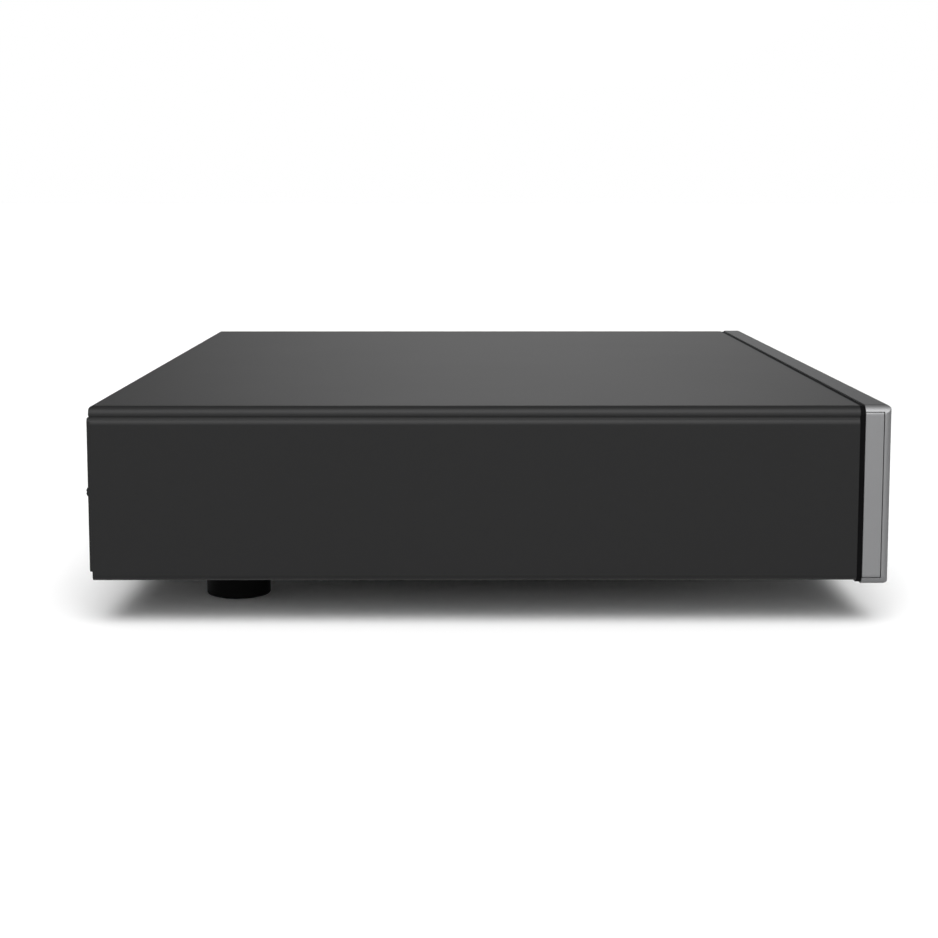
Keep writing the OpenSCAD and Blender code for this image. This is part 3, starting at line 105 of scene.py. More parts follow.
class FinishSettings(PropertyGroup):
    """Colours and gloss of the outside."""
    paint: FloatVectorProperty(
        name="Case paint", description="Colour of the powder coat on the case", subtype="COLOR",
        size=3, min=0, max=1, default=(0.004, 0.004, 0.0042))
    paint_rough: FloatProperty(
        name="Paint roughness", description="Middle roughness of the powder coat", subtype="FACTOR",
        min=0, max=1, default=0.45)
    aluminium: FloatVectorProperty(
        name="Aluminium", description="Colour of the anodised fascia", subtype="COLOR",
        size=3, min=0, max=1, default=(0.194, 0.195, 0.198))
    aluminium_rough: FloatProperty(
        name="Aluminium roughness", description="Middle roughness of the blasted fascia", subtype="FACTOR",
        min=0, max=1, default=0.5)
    moulding: FloatVectorProperty(
        name="Mouldings", description="Colour of the black plastic", subtype="COLOR",
        size=3, min=0, max=1, default=(0.003, 0.003, 0.0032))
    picture: FloatVectorProperty(
        name="Picture tint", description="Colour of the lines in the display", subtype="COLOR",
        size=3, min=0, max=1, default=(0.78, 0.88, 1.0))


class SizeSettings(PropertyGroup):
    """Sizes of the small details, which leave the solids as they are."""
    edge: FloatProperty(
        name="Sheet edge", description="Rounding of the cut sheet edges", unit="LENGTH",
        min=0.00005, max=0.0005, precision=5, default=0.00022)
    moulded_edge: FloatProperty(
        name="Moulded edge", description="Rounding of the edges of plastic mouldings", unit="LENGTH",
        min=0.00005, max=0.0005, precision=5, default=0.0003)
    flutes: IntProperty(
        name="Knob flutes", description="Number of grip flutes round the knob", min=24, max=120, default=90)
    flute_depth: FloatProperty(
        name="Flute depth", description="Depth of the grip flutes", unit="LENGTH",
        min=0, max=0.0006, precision=5, default=0.0003)
    print_height: FloatProperty(
        name="Print height", description="Height of printed marks above their surface", unit="LENGTH",
        min=0.00001, max=0.0002, precision=5, default=0.00004)


class StageSettings(PropertyGroup):
    """Floor, light and camera."""
    floor: FloatVectorProperty(
        name="Floor", description="Colour of the floor", subtype="COLOR",
        size=3, min=0, max=1, default=(0.94, 0.94, 0.94))
    overhead: FloatProperty(
        name="Overhead light", description="Strength of the wide overhead light",
        min=0, max=10, default=1.8)
    fill: FloatProperty(
        name="Side light", description="Strength of the wide light from the left side",
        min=0, max=10, default=1.85)
    top: FloatProperty(
        name="Top light", description="Strength of the widest light, straight above",
        min=0, max=10, default=0.9)
    room: FloatProperty(
        name="Room light", description="Strength of the room above the pale horizon",
        min=0, max=2, default=0.1)
    glow: FloatProperty(
        name="Back light", description="Strength of the soft card behind the object",
        min=0, max=4, default=0.88)
    lens: FloatProperty(
        name="Lens", description="Focal length on a 36 mm wide sensor", subtype="DISTANCE_CAMERA",
        min=20, max=200, default=79.307)


# ---------------------------------------------------------------- shapes

def grid_faces(rows, columns, loop=False):
    """Quads between neighbouring points of closed rows; with loop, the last row is joined to the first."""
    i, j = np.meshgrid(np.arange(rows if loop else rows - 1), np.arange(columns), indexing="ij")
    a, b = (i + 1) % rows, (j + 1) % columns
    quads = np.stack([i * columns + j, i * columns + b, a * columns + b, a * columns + j], -1)
    return quads.reshape(-1, 4).tolist()


def turned(radius, depth, centre, steps, loop=False, upright=False):
    """A lathe shape: the profile point (radius, depth) goes round to (x + radius cos a, z + radius sin a).
    The axis is Y at centre (x, z), or upright Z at (x, y); radius may have a column for each angle."""
    depth = np.asarray(depth, float)
    angle = np.linspace(0, 2 * np.pi, steps, endpoint=False)
    radius = np.broadcast_to(np.asarray(radius, float).reshape(len(depth), -1), (len(depth), steps))
    across = centre[0] + radius * np.cos(angle)
    other = centre[1] + radius * np.sin(angle)
    along = np.broadcast_to(depth[:, None], across.shape)
    order = [across, other, along] if upright else [across, along, other]
    return np.stack(order, -1).reshape(-1, 3), grid_faces(len(depth), steps, loop)


def arc(centre, radius, start, end, steps=7):
    """Points of a circle's arc between two angles in degrees: centre + radius (cos a, sin a)."""
    angle = np.radians(np.linspace(start, end, steps))
    return np.stack([centre[0] + radius * np.cos(angle), centre[1] + radius * np.sin(angle)], 1)


def rounded(width, height, radius, steps):
    """Outline of a rectangle with round corners: four quarter circles, each about its own corner's centre."""
    angle = (np.arange(4)[:, None] * 90 + np.linspace(0, 90, steps)).ravel()
    signs = np.repeat([[1, 1], [-1, 1], [-1, -1], [1, -1]], steps, 0)
    circle = np.stack([np.cos(np.radians(angle)), np.sin(np.radians(angle))], 1)
    return signs * [width / 2 - radius, height / 2 - radius] + radius * circle


def bracket(width, drop, radius, steps=6):
    """An open line: up from the left foot, round a quarter circle, across, round and down to the right."""
    left = arc((radius - width / 2, -radius), radius, 180, 90, steps)
    right = arc((width / 2 - radius, -radius), radius, 90, 0, steps)
    return np.concatenate([[[-width / 2, -drop]], left, right, [[width / 2, -drop]]])


def upright_at(outline, x, y, z):
    """A flat outline (across, up) stood upright at (x, y, z), facing the front and the rear."""
    outline = np.asarray(outline, float)
    return np.stack([x + outline[:, 0], np.full(len(outline), float(y)), z + outline[:, 1]], 1)


def plate(outline, out, height):
    """A flat prism: the outline and a copy moved along the direction out, joined round their edge."""
    low = np.asarray(outline, float)
    count = len(low)
    faces = grid_faces(2, count) + [list(range(count)), list(range(count, 2 * count))]
    return np.concatenate([low, low + np.asarray(out) * height]), faces


def ribbon(path, out, half_width, height, loop=False):
    """A strip along a path: a rectangle lies across each point, half_width to each side and height outwards.
    The side direction is the cross product of the path's direction and out."""
    path = np.asarray(path, float)
    along = np.roll(path, -1, 0) - np.roll(path, 1, 0) if loop else np.gradient(path, axis=0)
    side = np.cross(along, out)
    side *= half_width / np.linalg.norm(side, axis=1, keepdims=True)
    rise = np.asarray(out) * height
    rings = np.stack([path - side, path + side, path + side + rise, path - side + rise], 1)
    faces = grid_faces(len(path), 4, loop)
    if not loop:
        last = 4 * (len(path) - 1)
        faces += [[0, 1, 2, 3], [last, last + 1, last + 2, last + 3]]
    return rings.reshape(-1, 3), faces


def together(*shapes):
    """Several shapes as one: the faces of each count on from the points before it."""
    starts = np.cumsum([0] + [len(points) for points, _ in shapes])
    faces = [[corner + int(start) for corner in face]
             for (_, made), start in zip(shapes, starts) for face in made]
    return np.concatenate([points for points, _ in shapes]), faces


# ---------------------------------------------------------------- pieces

def place(obj, body, replaces=()):
    """Links a finished piece, sets the body it rides on, and hides the solids it replaces."""
    bpy.context.scene.collection.objects.link(obj)
    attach(obj, body)
    if replaces:
        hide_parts(*replaces)


def piece(name, shape, look, body, replaces=(), sharp=SHARP, tint=None):
    """A closed piece from a shape in millimetres, with its doubles merged and its faces turned outwards."""
    points, faces = shape
    mesh = bpy.data.meshes.new(name)
    mesh.from_pydata((points * MM).tolist(), [], faces)
    if tint is not None:
        colour = mesh.attributes.new("tint", "FLOAT_COLOR", "POINT")
        colour.data.foreach_set("color", np.asarray(tint, np.float32).ravel())
    work = bmesh.new()
    work.from_mesh(mesh)
    bmesh.ops.remove_doubles(work, verts=work.verts, dist=1e-7)
    bmesh.ops.dissolve_degenerate(work, edges=work.edges, dist=1e-8)
    bmesh.ops.recalc_face_normals(work, faces=work.faces)
    work.to_mesh(mesh)
    work.free()
    mesh.shade_smooth()
    mesh.set_sharp_from_angle(angle=math.radians(sharp))
    mesh.materials.append(finish_named(look))
    place(bpy.data.objects.new(name, mesh), body, replaces)


def softened(node, edge, look):
    """A merged copy of a solid, cut into convex faces: a bevel rounds its sharp edges, and its normals are
    weighted by area."""
    source = frame["nodes"][node]
    work = bmesh.new()
    work.from_mesh(source.data)
    bmesh.ops.remove_doubles(work, verts=work.verts, dist=2e-6)
    bmesh.ops.dissolve_limit(work, angle_limit=math.radians(0.5), use_dissolve_boundaries=False,
                             verts=work.verts, edges=work.edges)
    bmesh.ops.connect_verts_concave(work, faces=work.faces)
    mesh = bpy.data.meshes.new(node + "_finished")
    work.to_mesh(mesh)
    work.free()
    mesh.shade_smooth()
    mesh.materials.append(finish_named(look))
    obj = bpy.data.objects.new(node + "_finished", mesh)
    bevel = obj.modifiers.new("Soft edges", "BEVEL")
    bevel.width = edge
    bevel.segments = 2
    bevel.limit_method = "ANGLE"
    bevel.angle_limit = math.radians(SHARP)
    bevel.miter_outer = "MITER_ARC"
    bevel.loop_slide = False
    normals = obj.modifiers.new("Flat faces", "WEIGHTED_NORMAL")
    normals.keep_sharp = True
    normals.weight = 80
    place(obj, source["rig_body"], [node])


def dress(node, look):
    """Gives a solid that keeps its own shape a finish."""
    for entry in frame["nodes"][node].material_slots:
        entry.material = finish_named(look)


# ---------------------------------------------------------------- shader groups

def add(tree, kind, **values):
    """A shader node with its inputs or properties set by name; underscores stand for spaces."""
    made = tree.nodes.new(kind)
    for key, value in values.items():
        socket = made.inputs.get(key.replace("_", " "))
        if socket is not None:
            socket.default_value = value
        else:
            setattr(made, key, value)
    return made


def effect(name, inputs, outputs, build):
    """A shader group that is built once: its named sockets, then what build puts between its two ends."""
    if name in bpy.data.node_groups:
        return bpy.data.node_groups[name]
    tree = bpy.data.node_groups.new(name, "ShaderNodeTree")
    for label, value in inputs.items():
        kind = "Float" if isinstance(value, float) else "Color" if len(value) == 4 else "Vector"
        socket = tree.interface.new_socket(label, in_out="INPUT", socket_type="NodeSocket" + kind)
        socket.default_value = value
    for label, kind in outputs.items():
        tree.interface.new_socket(label, in_out="OUTPUT", socket_type="NodeSocket" + kind)
    build(tree, tree.nodes.new("NodeGroupInput").outputs, tree.nodes.new("NodeGroupOutput").inputs)
    return tree


def between(tree, value, low, high):
    """Stretches a noise value to run from low to high; low and high are group inputs."""
    limits = add(tree, "ShaderNodeMapRange", From_Min=0.3, From_Max=0.7)
    link = tree.links.new
    link(value, limits.inputs["Value"])
    link(low, limits.inputs["To Min"])
    link(high, limits.inputs["To Max"])
    return limits.outputs["Result"]


def send(tree, given, out, rough, height):
    """Sends one noise to the roughness, between the group's two limits, and one to the height."""
    tree.links.new(between(tree, rough, given["Rough low"], given["Rough high"]), out["Roughness"])
    tree.links.new(height, out["Height"])


def grain(tree, given, out):
    """Fine even grain: noise at a given scale is the height; its mean with a wide noise is the roughness."""
    where = add(tree, "ShaderNodeTexCoord").outputs["Object"]
    link = tree.links.new
    fine = add(tree, "ShaderNodeTexNoise", Detail=2.0, Roughness=0.55)
    wide = add(tree, "ShaderNodeTexNoise", Scale=18.0, Detail=3.0)
    mean = add(tree, "ShaderNodeMix", Factor=0.5)
    for noise in (fine, wide):
        link(where, noise.inputs["Vector"])
    link(given["Scale"], fine.inputs["Scale"])
    link(fine.outputs["Fac"], mean.inputs[2])
    link(wide.outputs["Fac"], mean.inputs[3])
    send(tree, given, out, mean.outputs[0], fine.outputs["Fac"])


def drift(tree, given, out):
    """Slow change of tone: a wide noise multiplies the colour by a number between two limits."""
    where = add(tree, "ShaderNodeTexCoord").outputs["Object"]
    link = tree.links.new
    wide = add(tree, "ShaderNodeTexNoise", Detail=4.0, Roughness=0.6)
    scaled = add(tree, "ShaderNodeVectorMath", operation="SCALE")
    link(where, wide.inputs["Vector"])
    link(given["Scale"], wide.inputs["Scale"])
    link(given["Colour"], scaled.inputs[0])
    factor = between(tree, wide.outputs["Fac"], given["Low"], given["High"])
    link(factor, scaled.inputs["Scale"])
    link(scaled.outputs["Vector"], out["Colour"])


def lines(tree, given, out):
    """Brushed lines: noise on coordinates stretched by a vector, long one way and fine the others."""
    where = add(tree, "ShaderNodeTexCoord").outputs["Object"]
    link = tree.links.new
    stretch = add(tree, "ShaderNodeVectorMath", operation="MULTIPLY")
    noise = add(tree, "ShaderNodeTexNoise", Scale=1.0, Detail=3.0, Roughness=0.65)
    link(where, stretch.inputs[0])
    link(given["Stretch"], stretch.inputs[1])
    link(stretch.outputs["Vector"], noise.inputs["Vector"])
    send(tree, given, out, noise.outputs["Fac"], noise.outputs["Fac"])


def rings(tree, given, out):
    """Turning marks: noise that changes only with the distance from a Y axis and the depth along it."""
    where = add(tree, "ShaderNodeTexCoord").outputs["Object"]
    link = tree.links.new
    from_axis = add(tree, "ShaderNodeVectorMath", operation="SUBTRACT")
    parts = add(tree, "ShaderNodeSeparateXYZ")
    flat = add(tree, "ShaderNodeCombineXYZ")
    length = add(tree, "ShaderNodeVectorMath", operation="LENGTH")
    pair = add(tree, "ShaderNodeCombineXYZ")
    noise = add(tree, "ShaderNodeTexNoise", Detail=3.0, Roughness=0.7)
    link(where, from_axis.inputs[0])
    link(given["Centre"], from_axis.inputs[1])
    link(from_axis.outputs["Vector"], parts.inputs[0])
    link(parts.outputs["X"], flat.inputs["X"])
    link(parts.outputs["Z"], flat.inputs["Z"])
    link(flat.outputs["Vector"], length.inputs[0])
    link(length.outputs["Value"], pair.inputs["X"])
    link(parts.outputs["Y"], pair.inputs["Y"])
    link(pair.outputs["Vector"], noise.inputs["Vector"])
    link(given["Scale"], noise.inputs["Scale"])
    send(tree, given, out, noise.outputs["Fac"], noise.outputs["Fac"])


ROUGH = {"Rough low": 0.4, "Rough high": 0.5}
SKIN = {"Roughness": "Float", "Height": "Float"}


def surface(tree, kind, **values):
    """One of the shared effects placed in a material with its own values."""
    shared = {
        "grain": lambda: effect("Fine grain", {"Scale": 2000.0, **ROUGH}, SKIN, grain),
        "lines": lambda: effect("Brushed lines", {"Stretch": (40.0, 3500.0, 3500.0), **ROUGH}, SKIN, lines),
        "rings": lambda: effect("Turning marks", {"Centre": (0.0, 0.0, 0.0), "Scale": 5000.0, **ROUGH}, SKIN,
                                rings),
        "drift": lambda: effect("Tone drift", {"Colour": (0.5, 0.5, 0.5, 1.0), "Scale": 12.0, "Low": 0.9,
                                               "High": 1.1}, {"Colour": "Color"}, drift),
    }
    made = tree.nodes.new("ShaderNodeGroup")
    made.node_tree = shared[kind]()
    for key, value in values.items():
        made.inputs[key.replace("_", " ")].default_value = value
    return made


def principled(name, **sockets):
    """A new material with plain values on its shader's sockets, with its node tree and its shader."""
    made = bpy.data.materials.new(name)
    made.use_nodes = True
    shader = made.node_tree.nodes["Principled BSDF"]
    for key, value in sockets.items():
        shader.inputs[key.replace("_", " ")].default_value = value
    return made, made.node_tree, shader


def finish(name, colour, rough, spread=0.05, skin="grain", bump=0.1, depth=0.00005, tone=0.08,
           tone_scale=14.0, skin_values=None, **sockets):
    """A Principled finish: drifting tone, a skin of grain, lines or rings, and plain values on sockets."""
    made, tree, shader = principled("streamer_" + name, **sockets)
    link = tree.links.new
    tint = surface(tree, "drift", Colour=(*colour, 1), Scale=tone_scale, Low=1 - tone, High=1 + tone)
    skin = surface(tree, skin, Rough_low=max(rough - spread, 0.01), Rough_high=rough + spread,
                   **(skin_values or {}))
    relief = add(tree, "ShaderNodeBump", Strength=bump, Distance=depth)
    link(tint.outputs["Colour"], shader.inputs["Base Color"])
    link(skin.outputs["Roughness"], shader.inputs["Roughness"])
    link(skin.outputs["Height"], relief.inputs["Height"])
    link(relief.outputs["Normal"], shader.inputs["Normal"])
    return made


# ---------------------------------------------------------------- finishes

def insert_finish():
    """Phono mouldings coloured by place: white above red in the outer pair, orange above black inside it."""
    made = finish("coloured_insert", (0.7, 0.7, 0.68), 0.34, tone=0.05)
    tree = made.node_tree
    link = tree.links.new
    shader = tree.nodes["Principled BSDF"]
    low, high = span("phono_insulators")
    where = add(tree, "ShaderNodeSeparateXYZ")
    link(add(tree, "ShaderNodeTexCoord").outputs["Object"], where.inputs[0])
    masks = []
    for axis in (0, 2):
        above = add(tree, "ShaderNodeMath", operation="GREATER_THAN")
        above.inputs[1].default_value = (low[axis] + high[axis]) / 2 * MM
        link(where.outputs[axis], above.inputs[0])
        masks.append(above.outputs[0])
    pairs = []
    inner = (0.02, 0.02, 0.02, 1), (0.72, 0.2, 0.02, 1)
    outer = (0.5, 0.012, 0.012, 1), (0.74, 0.74, 0.72, 1)
    for below, above in (inner, outer):
        pair = add(tree, "ShaderNodeMix", data_type="RGBA")
        pair.inputs[6].default_value, pair.inputs[7].default_value = below, above
        link(masks[1], pair.inputs["Factor"])
        pairs.append(pair.outputs[2])
    both = add(tree, "ShaderNodeMix", data_type="RGBA")
    link(masks[0], both.inputs["Factor"])
    link(pairs[0], both.inputs[6])
    link(pairs[1], both.inputs[7])
    link(both.outputs[2], shader.inputs["Base Color"])
    return made


def board_finish():
    """Solder mask: the edges of Voronoi cells show as paler tracks over the green."""
    made = finish("board_green", (0.012, 0.09, 0.045), 0.36, tone=0.2, tone_scale=160.0)
    tree = made.node_tree
    link = tree.links.new
    shader = tree.nodes["Principled BSDF"]
    cells = add(tree, "ShaderNodeTexVoronoi", Scale=170.0, feature="DISTANCE_TO_EDGE")
    tracks = add(tree, "ShaderNodeMapRange", From_Min=0.04, From_Max=0.07, To_Min=1.0, To_Max=0.0)
    mixed = add(tree, "ShaderNodeMix", data_type="RGBA")
    link(add(tree, "ShaderNodeTexCoord").outputs["Object"], cells.inputs["Vector"])
    link(cells.outputs["Distance"], tracks.inputs["Value"])
    link(tracks.outputs["Result"], mixed.inputs["Factor"])
    link(shader.inputs["Base Color"].links[0].from_socket, mixed.inputs[6])
    mixed.inputs[7].default_value = (0.03, 0.2, 0.09, 1)
    link(mixed.outputs[2], shader.inputs["Base Color"])
    return made


def picture_finish():
    """Light of the display: each point's own colour is the emission."""
    made, tree, shader = principled("streamer_picture", Base_Color=(0.004, 0.004, 0.005, 1),
                                    Emission_Strength=3.0)
    tint = add(tree, "ShaderNodeAttribute", attribute_name="tint")
    tree.links.new(tint.outputs["Color"], shader.inputs["Emission Color"])
    return made


PATTERNED = {"coloured_insert": insert_finish, "board_green": board_finish, "picture": picture_finish}
# The other finishes: colour and roughness, or the settings that hold them, and further values
FINISHES = {
    "case_paint": ("paint", "paint_rough", dict(
        spread=0.006, bump=0.2, tone=0.04, skin_values={"Scale": 2400.0}, Specular_IOR_Level=0.21)),
    "fascia_aluminium": ("aluminium", "aluminium_rough", dict(
        skin="lines", bump=0.06, depth=0.00003, tone=0.015,
        skin_values={"Stretch": (60.0, 4200.0, 4200.0)}, Metallic=1.0, Specular_Tint=(0.66, 0.66, 0.66, 1))),
    "knob_aluminium": ("aluminium", 0.3, dict(
        spread=0.08, skin="rings", bump=0.08, depth=0.00003, tone=0.015,
        skin_values={"Scale": 6500.0, "Centre": tuple(middle("knob") * MM)}, Metallic=1.0,
        Specular_Tint=(0.7, 0.7, 0.7, 1), Anisotropic=0.4)),
    "smoked_window": ((0.2, 0.205, 0.215), 0.035, dict(
        spread=0.02, bump=0.0, tone=0.02, skin_values={"Scale": 300.0}, Transmission_Weight=1.0, IOR=1.49)),
    "black_moulding": ("moulding", 0.5, dict(
        bump=0.2, tone=0.15, skin_values={"Scale": 3000.0}, Specular_IOR_Level=0.1)),
    "foot_moulding": ("moulding", 0.62, dict(
        bump=0.25, tone=0.15, skin_values={"Scale": 1800.0}, Specular_IOR_Level=0.05)),
    "deep_moulding": ("moulding", 0.6, dict(bump=0.2, tone=0.15, Specular_IOR_Level=0.02)),
    "rubber": ((0.012, 0.012, 0.012), 0.8, dict(
        bump=0.3, tone=0.25, skin_values={"Scale": 1500.0}, Specular_IOR_Level=0.3)),
    "black_screw": ((0.018, 0.018, 0.02), 0.42, dict(
        spread=0.08, tone=0.15, Metallic=1.0, Specular_Tint=(0.4, 0.4, 0.4, 1))),
    "screen": ((0.004, 0.004, 0.005), 0.16, dict(bump=0.02, tone=0.1)),
    "bright_metal": ((0.62, 0.605, 0.58), 0.24, dict(spread=0.07, bump=0.05, tone=0.04, Metallic=1.0)),
    "gold_plate": ((0.78, 0.54, 0.22), 0.2, dict(spread=0.06, bump=0.04, tone=0.05, Metallic=1.0)),
    "pale_insert": ((0.6, 0.61, 0.63), 0.42, dict(tone=0.05)),
    "lens": ((0.45, 0.55, 0.7), 0.12, dict(
        bump=0.0, tone=0.03, Emission_Color=(0.35, 0.6, 1.0, 1), Emission_Strength=1.2)),
    "amber_lens": ((0.55, 0.3, 0.03), 0.16, dict(bump=0.0, tone=0.1)),
    "dark_lens": ((0.02, 0.004, 0.006), 0.08, dict(bump=0.0, tone=0.2)),
    "copper_core": ((0.26, 0.16, 0.04), 0.5, dict(tone=0.3, tone_scale=180.0)),
    "wire_sheath": ((0.16, 0.06, 0.02), 0.42, dict(tone=0.3, tone_scale=60.0)),
    "dark_print": ((0.022, 0.022, 0.024), 0.55, dict(tone=0.12, skin_values={"Scale": 6000.0})),
    "pale_print": ((0.5, 0.5, 0.51), 0.6, dict(tone=0.1, skin_values={"Scale": 6000.0})),
}


def finish_named(name):
    """A finish by name, made when it is first asked for."""
    ready = bpy.data.materials.get("streamer_" + name)
    if ready:
        return ready
    if name in PATTERNED:
        return PATTERNED[name]()
    colour, rough, values = FINISHES[name]
    given = bpy.context.scene.streamer_finish
    if isinstance(colour, str):
        colour = getattr(given, colour)
    if isinstance(rough, str):
        rough = getattr(given, rough)
    return finish(name, colour, rough, **values)


# ---------------------------------------------------------------- steps

class STREAMER_OT_case(Operator):
    """Folded tray, lid, rear panel and black sub-frame with soft cut edges, and the feet under them"""
    bl_idname = "streamer.case"
    bl_label = "Case and feet"

    def execute(self, context):
        sizes = context.scene.streamer_sizes
        for node in ("chassis", "top_cover", "rear_panel"):
            softened(node, sizes.edge, "case_paint")
        softened("front_subframe", sizes.moulded_edge, "deep_moulding")
        for node in FEET:
            dress(node, "foot_moulding")
        dress("case_screws", "black_screw")
        self.pads()
        self.seam()
        return {"FINISHED"}

    def pads(self):
        """Rubber pads: flat ridges at the floor and grooves between them, from the rim to the middle."""
        low, high = span("foot_pads")
        radius = (high[1] - low[1] - (middle("rear_foot_left") - middle("front_foot"))[1]) / 2
        corner, groove = 0.3, 0.4
        rim = radius - corner
        across = np.array([0, radius, radius, rim, rim - 1.2, rim - 1.6, rim - 2.4, rim - 2.8, rim - 4,
                           rim - 4.4, rim - 5.2, rim - 5.6, 0])
        up = np.array([high[2], high[2], corner, 0, 0, groove, groove, 0, 0, groove, groove, 0, 0])
        shapes = [turned(across, up, middle(node)[:2], steps=72, upright=True) for node in FEET]
        piece("foot_pads_ridged", together(*shapes), "rubber", "case", ["foot_pads"])

    def seam(self):
        """Strips in the lid's two seams: a curved profile (depth, height) carried from front to rear."""
        low, high = span("top_cover")
        lip_above_panel = 0.88
        lip = span("rear_panel")[1][2] + lip_above_panel
        profile = np.array([[0.9, 0], [0.9, -0.6], [0.88, -0.95], [0.83, -1.25], [0.74, -1.5],
                            [3.0, -1.5], [3.0, 0]])
        shapes = [plate(upright_at(profile * [-side, 1], side * high[0], low[1], lip), BACK, high[1] - low[1])
                  for side in (-1, 1)]
        piece("lid_seams", together(*shapes), "case_paint", "case", sharp=60)


class STREAMER_OT_fascia(Operator):
    """Anodised fascia, its end caps, the seven keys and the smoked window"""
    bl_idname = "streamer.fascia"
    bl_label = "Fascia and keys"

    def execute(self, context):
        sizes = context.scene.streamer_sizes
        for node in ("fascia", "end_cap_left", "end_cap_right"):
            softened(node, sizes.edge, "fascia_aluminium")
        softened("display_window", sizes.edge / 2, "smoked_window")
        for node in KEY_MARKS:
            dress(node, "fascia_aluminium")
        dress("display_gasket", "rubber")
        dress("display_module", "screen")
        return {"FINISHED"}


def bar(width, height, x=0.0, z=0.0):
    """Outline of a small printed bar with round corners."""
    return rounded(width, height, min(width, height) * 0.3, steps=4) + [x, z]


def pointer(x, reach, half):
    """Outline of a triangle whose point lies reach to the side of its flat edge at x."""
    return np.array([[x, half], [x, -half], [x + reach, 0]])


KEY_MARKS = {
    "standby_key": [bar(0.6, 2.3, 0, 1.15)],
    "menu_key": [bar(4.6, 0.5, 0, 1.25), bar(4.6, 0.5), bar(4.6, 0.5, 0, -1.25)],
    "back_key": [pointer(-0.4, -1.9, 1.2), bar(2.9, 0.55, 0.95)],
    "info_key": [bar(0.8, 0.8, 0, 1.3), bar(0.65, 2.2, 0, -0.5)],
    "previous_key": [bar(0.6, 2.4, -1.6), pointer(1.5, -2.6, 1.25)],
    "play_key": [pointer(-2.4, 2.3, 1.25), bar(0.6, 2.4, 0.95), bar(0.6, 2.4, 2.05)],
    "next_key": [bar(0.6, 2.4, 1.6), pointer(-1.5, 2.6, 1.25)],
}


class STREAMER_OT_key_marks(Operator):
    """Printed symbols, each on the face of its own key"""
    bl_idname = "streamer.key_marks"
    bl_label = "Key symbols"

    def execute(self, context):
        height = context.scene.streamer_sizes.print_height / MM + SINK
        for node, outlines in KEY_MARKS.items():
            x, _, z = middle(node)
            face = span(node)[0][1] + SINK
            shapes = [plate(upright_at(outline, x, face, z), FRONT, height) for outline in outlines]
            if node == "standby_key":
                ring = arc((0, 0), radius=2.1, start=125, end=415, steps=28)
                shapes.append(ribbon(upright_at(ring, x, face, z), FRONT, half_width=0.3, height=height))
            piece(node + "_symbol", together(*shapes), "dark_print", node)
        return {"FINISHED"}


class STREAMER_OT_knob(Operator):
    """Turned knob with a dished face, a bright rim and a band of fine grip flutes"""
    bl_idname = "streamer.knob"
    bl_label = "Knob"

    def execute(self, context):
        """The flutes take flute_depth (1 - cos(flutes a)) / 2 off the radius, faded at both ends."""
        sizes = context.scene.streamer_sizes
        low, high = span("knob")
        hub = span("knob_hub")
        x, _, z = middle("knob")
        radius, length = (high[0] - low[0]) / 2, high[1] - low[1]
        hub_gap, corner, hollow = 0.05, 0.8, 0.7
        # Insets of the dish and of the flat round it from the rim, and of the side from both ends
        dish_in, flat_in, side_in = 3.2, 2.9, 1.2
        groove_in, groove_half, groove_depth = 1.9, 0.22, 0.3
        band_in, band_fade, band_deep = 2.6, 0.8, 0.35
        inner, floor = (hub[1][0] - hub[0][0]) / 2 + hub_gap, hub[0][1] - low[1]
        dish = np.linspace(0, radius - dish_in, 18)
        side = np.linspace(side_in, length - side_in, 56)
        groove = sum(groove_depth * np.exp(-((side - at) / groove_half) ** 4)
                     for at in (groove_in, length - groove_in))
        profile = np.concatenate([
            np.stack([dish, hollow * (1 - (dish / dish[-1]) ** 2)], 1),
            [[radius - flat_in, 0.0], [radius - corner, 0.0]],
            arc((radius - corner, corner), corner, -80, 0),
            np.stack([radius - groove, side], 1),
            arc((radius - corner, length - corner), corner, 0, 90),
            [[inner, length], [inner, floor], [0, floor]]])
        rise, fall = profile[:, 1] - band_in, length - band_in - profile[:, 1]
        band = np.clip(rise / band_fade, 0, 1) * np.clip(fall / band_fade, 0, 1)
        band = np.where(profile[:, 0] > radius - band_deep, band * band * (3 - 2 * band), 0)
        steps = sizes.flutes * 6
        angle = np.linspace(0, 2 * np.pi, steps, endpoint=False)
        flute = sizes.flute_depth / MM * (1 - np.cos(sizes.flutes * angle)) / 2
        shape = turned(profile[:, :1] - band[:, None] * flute, low[1] + profile[:, 1], (x, z), steps)
        piece("knob_turned", shape, "knob_aluminium", "knob", ["knob"], sharp=38)
        dress("knob_hub", "black_moulding")
        for node in ("encoder_shaft", "encoder_body", "encoder_nut"):
            dress(node, "bright_metal")
        dress("encoder_plunger", "black_moulding")
        return {"FINISHED"}


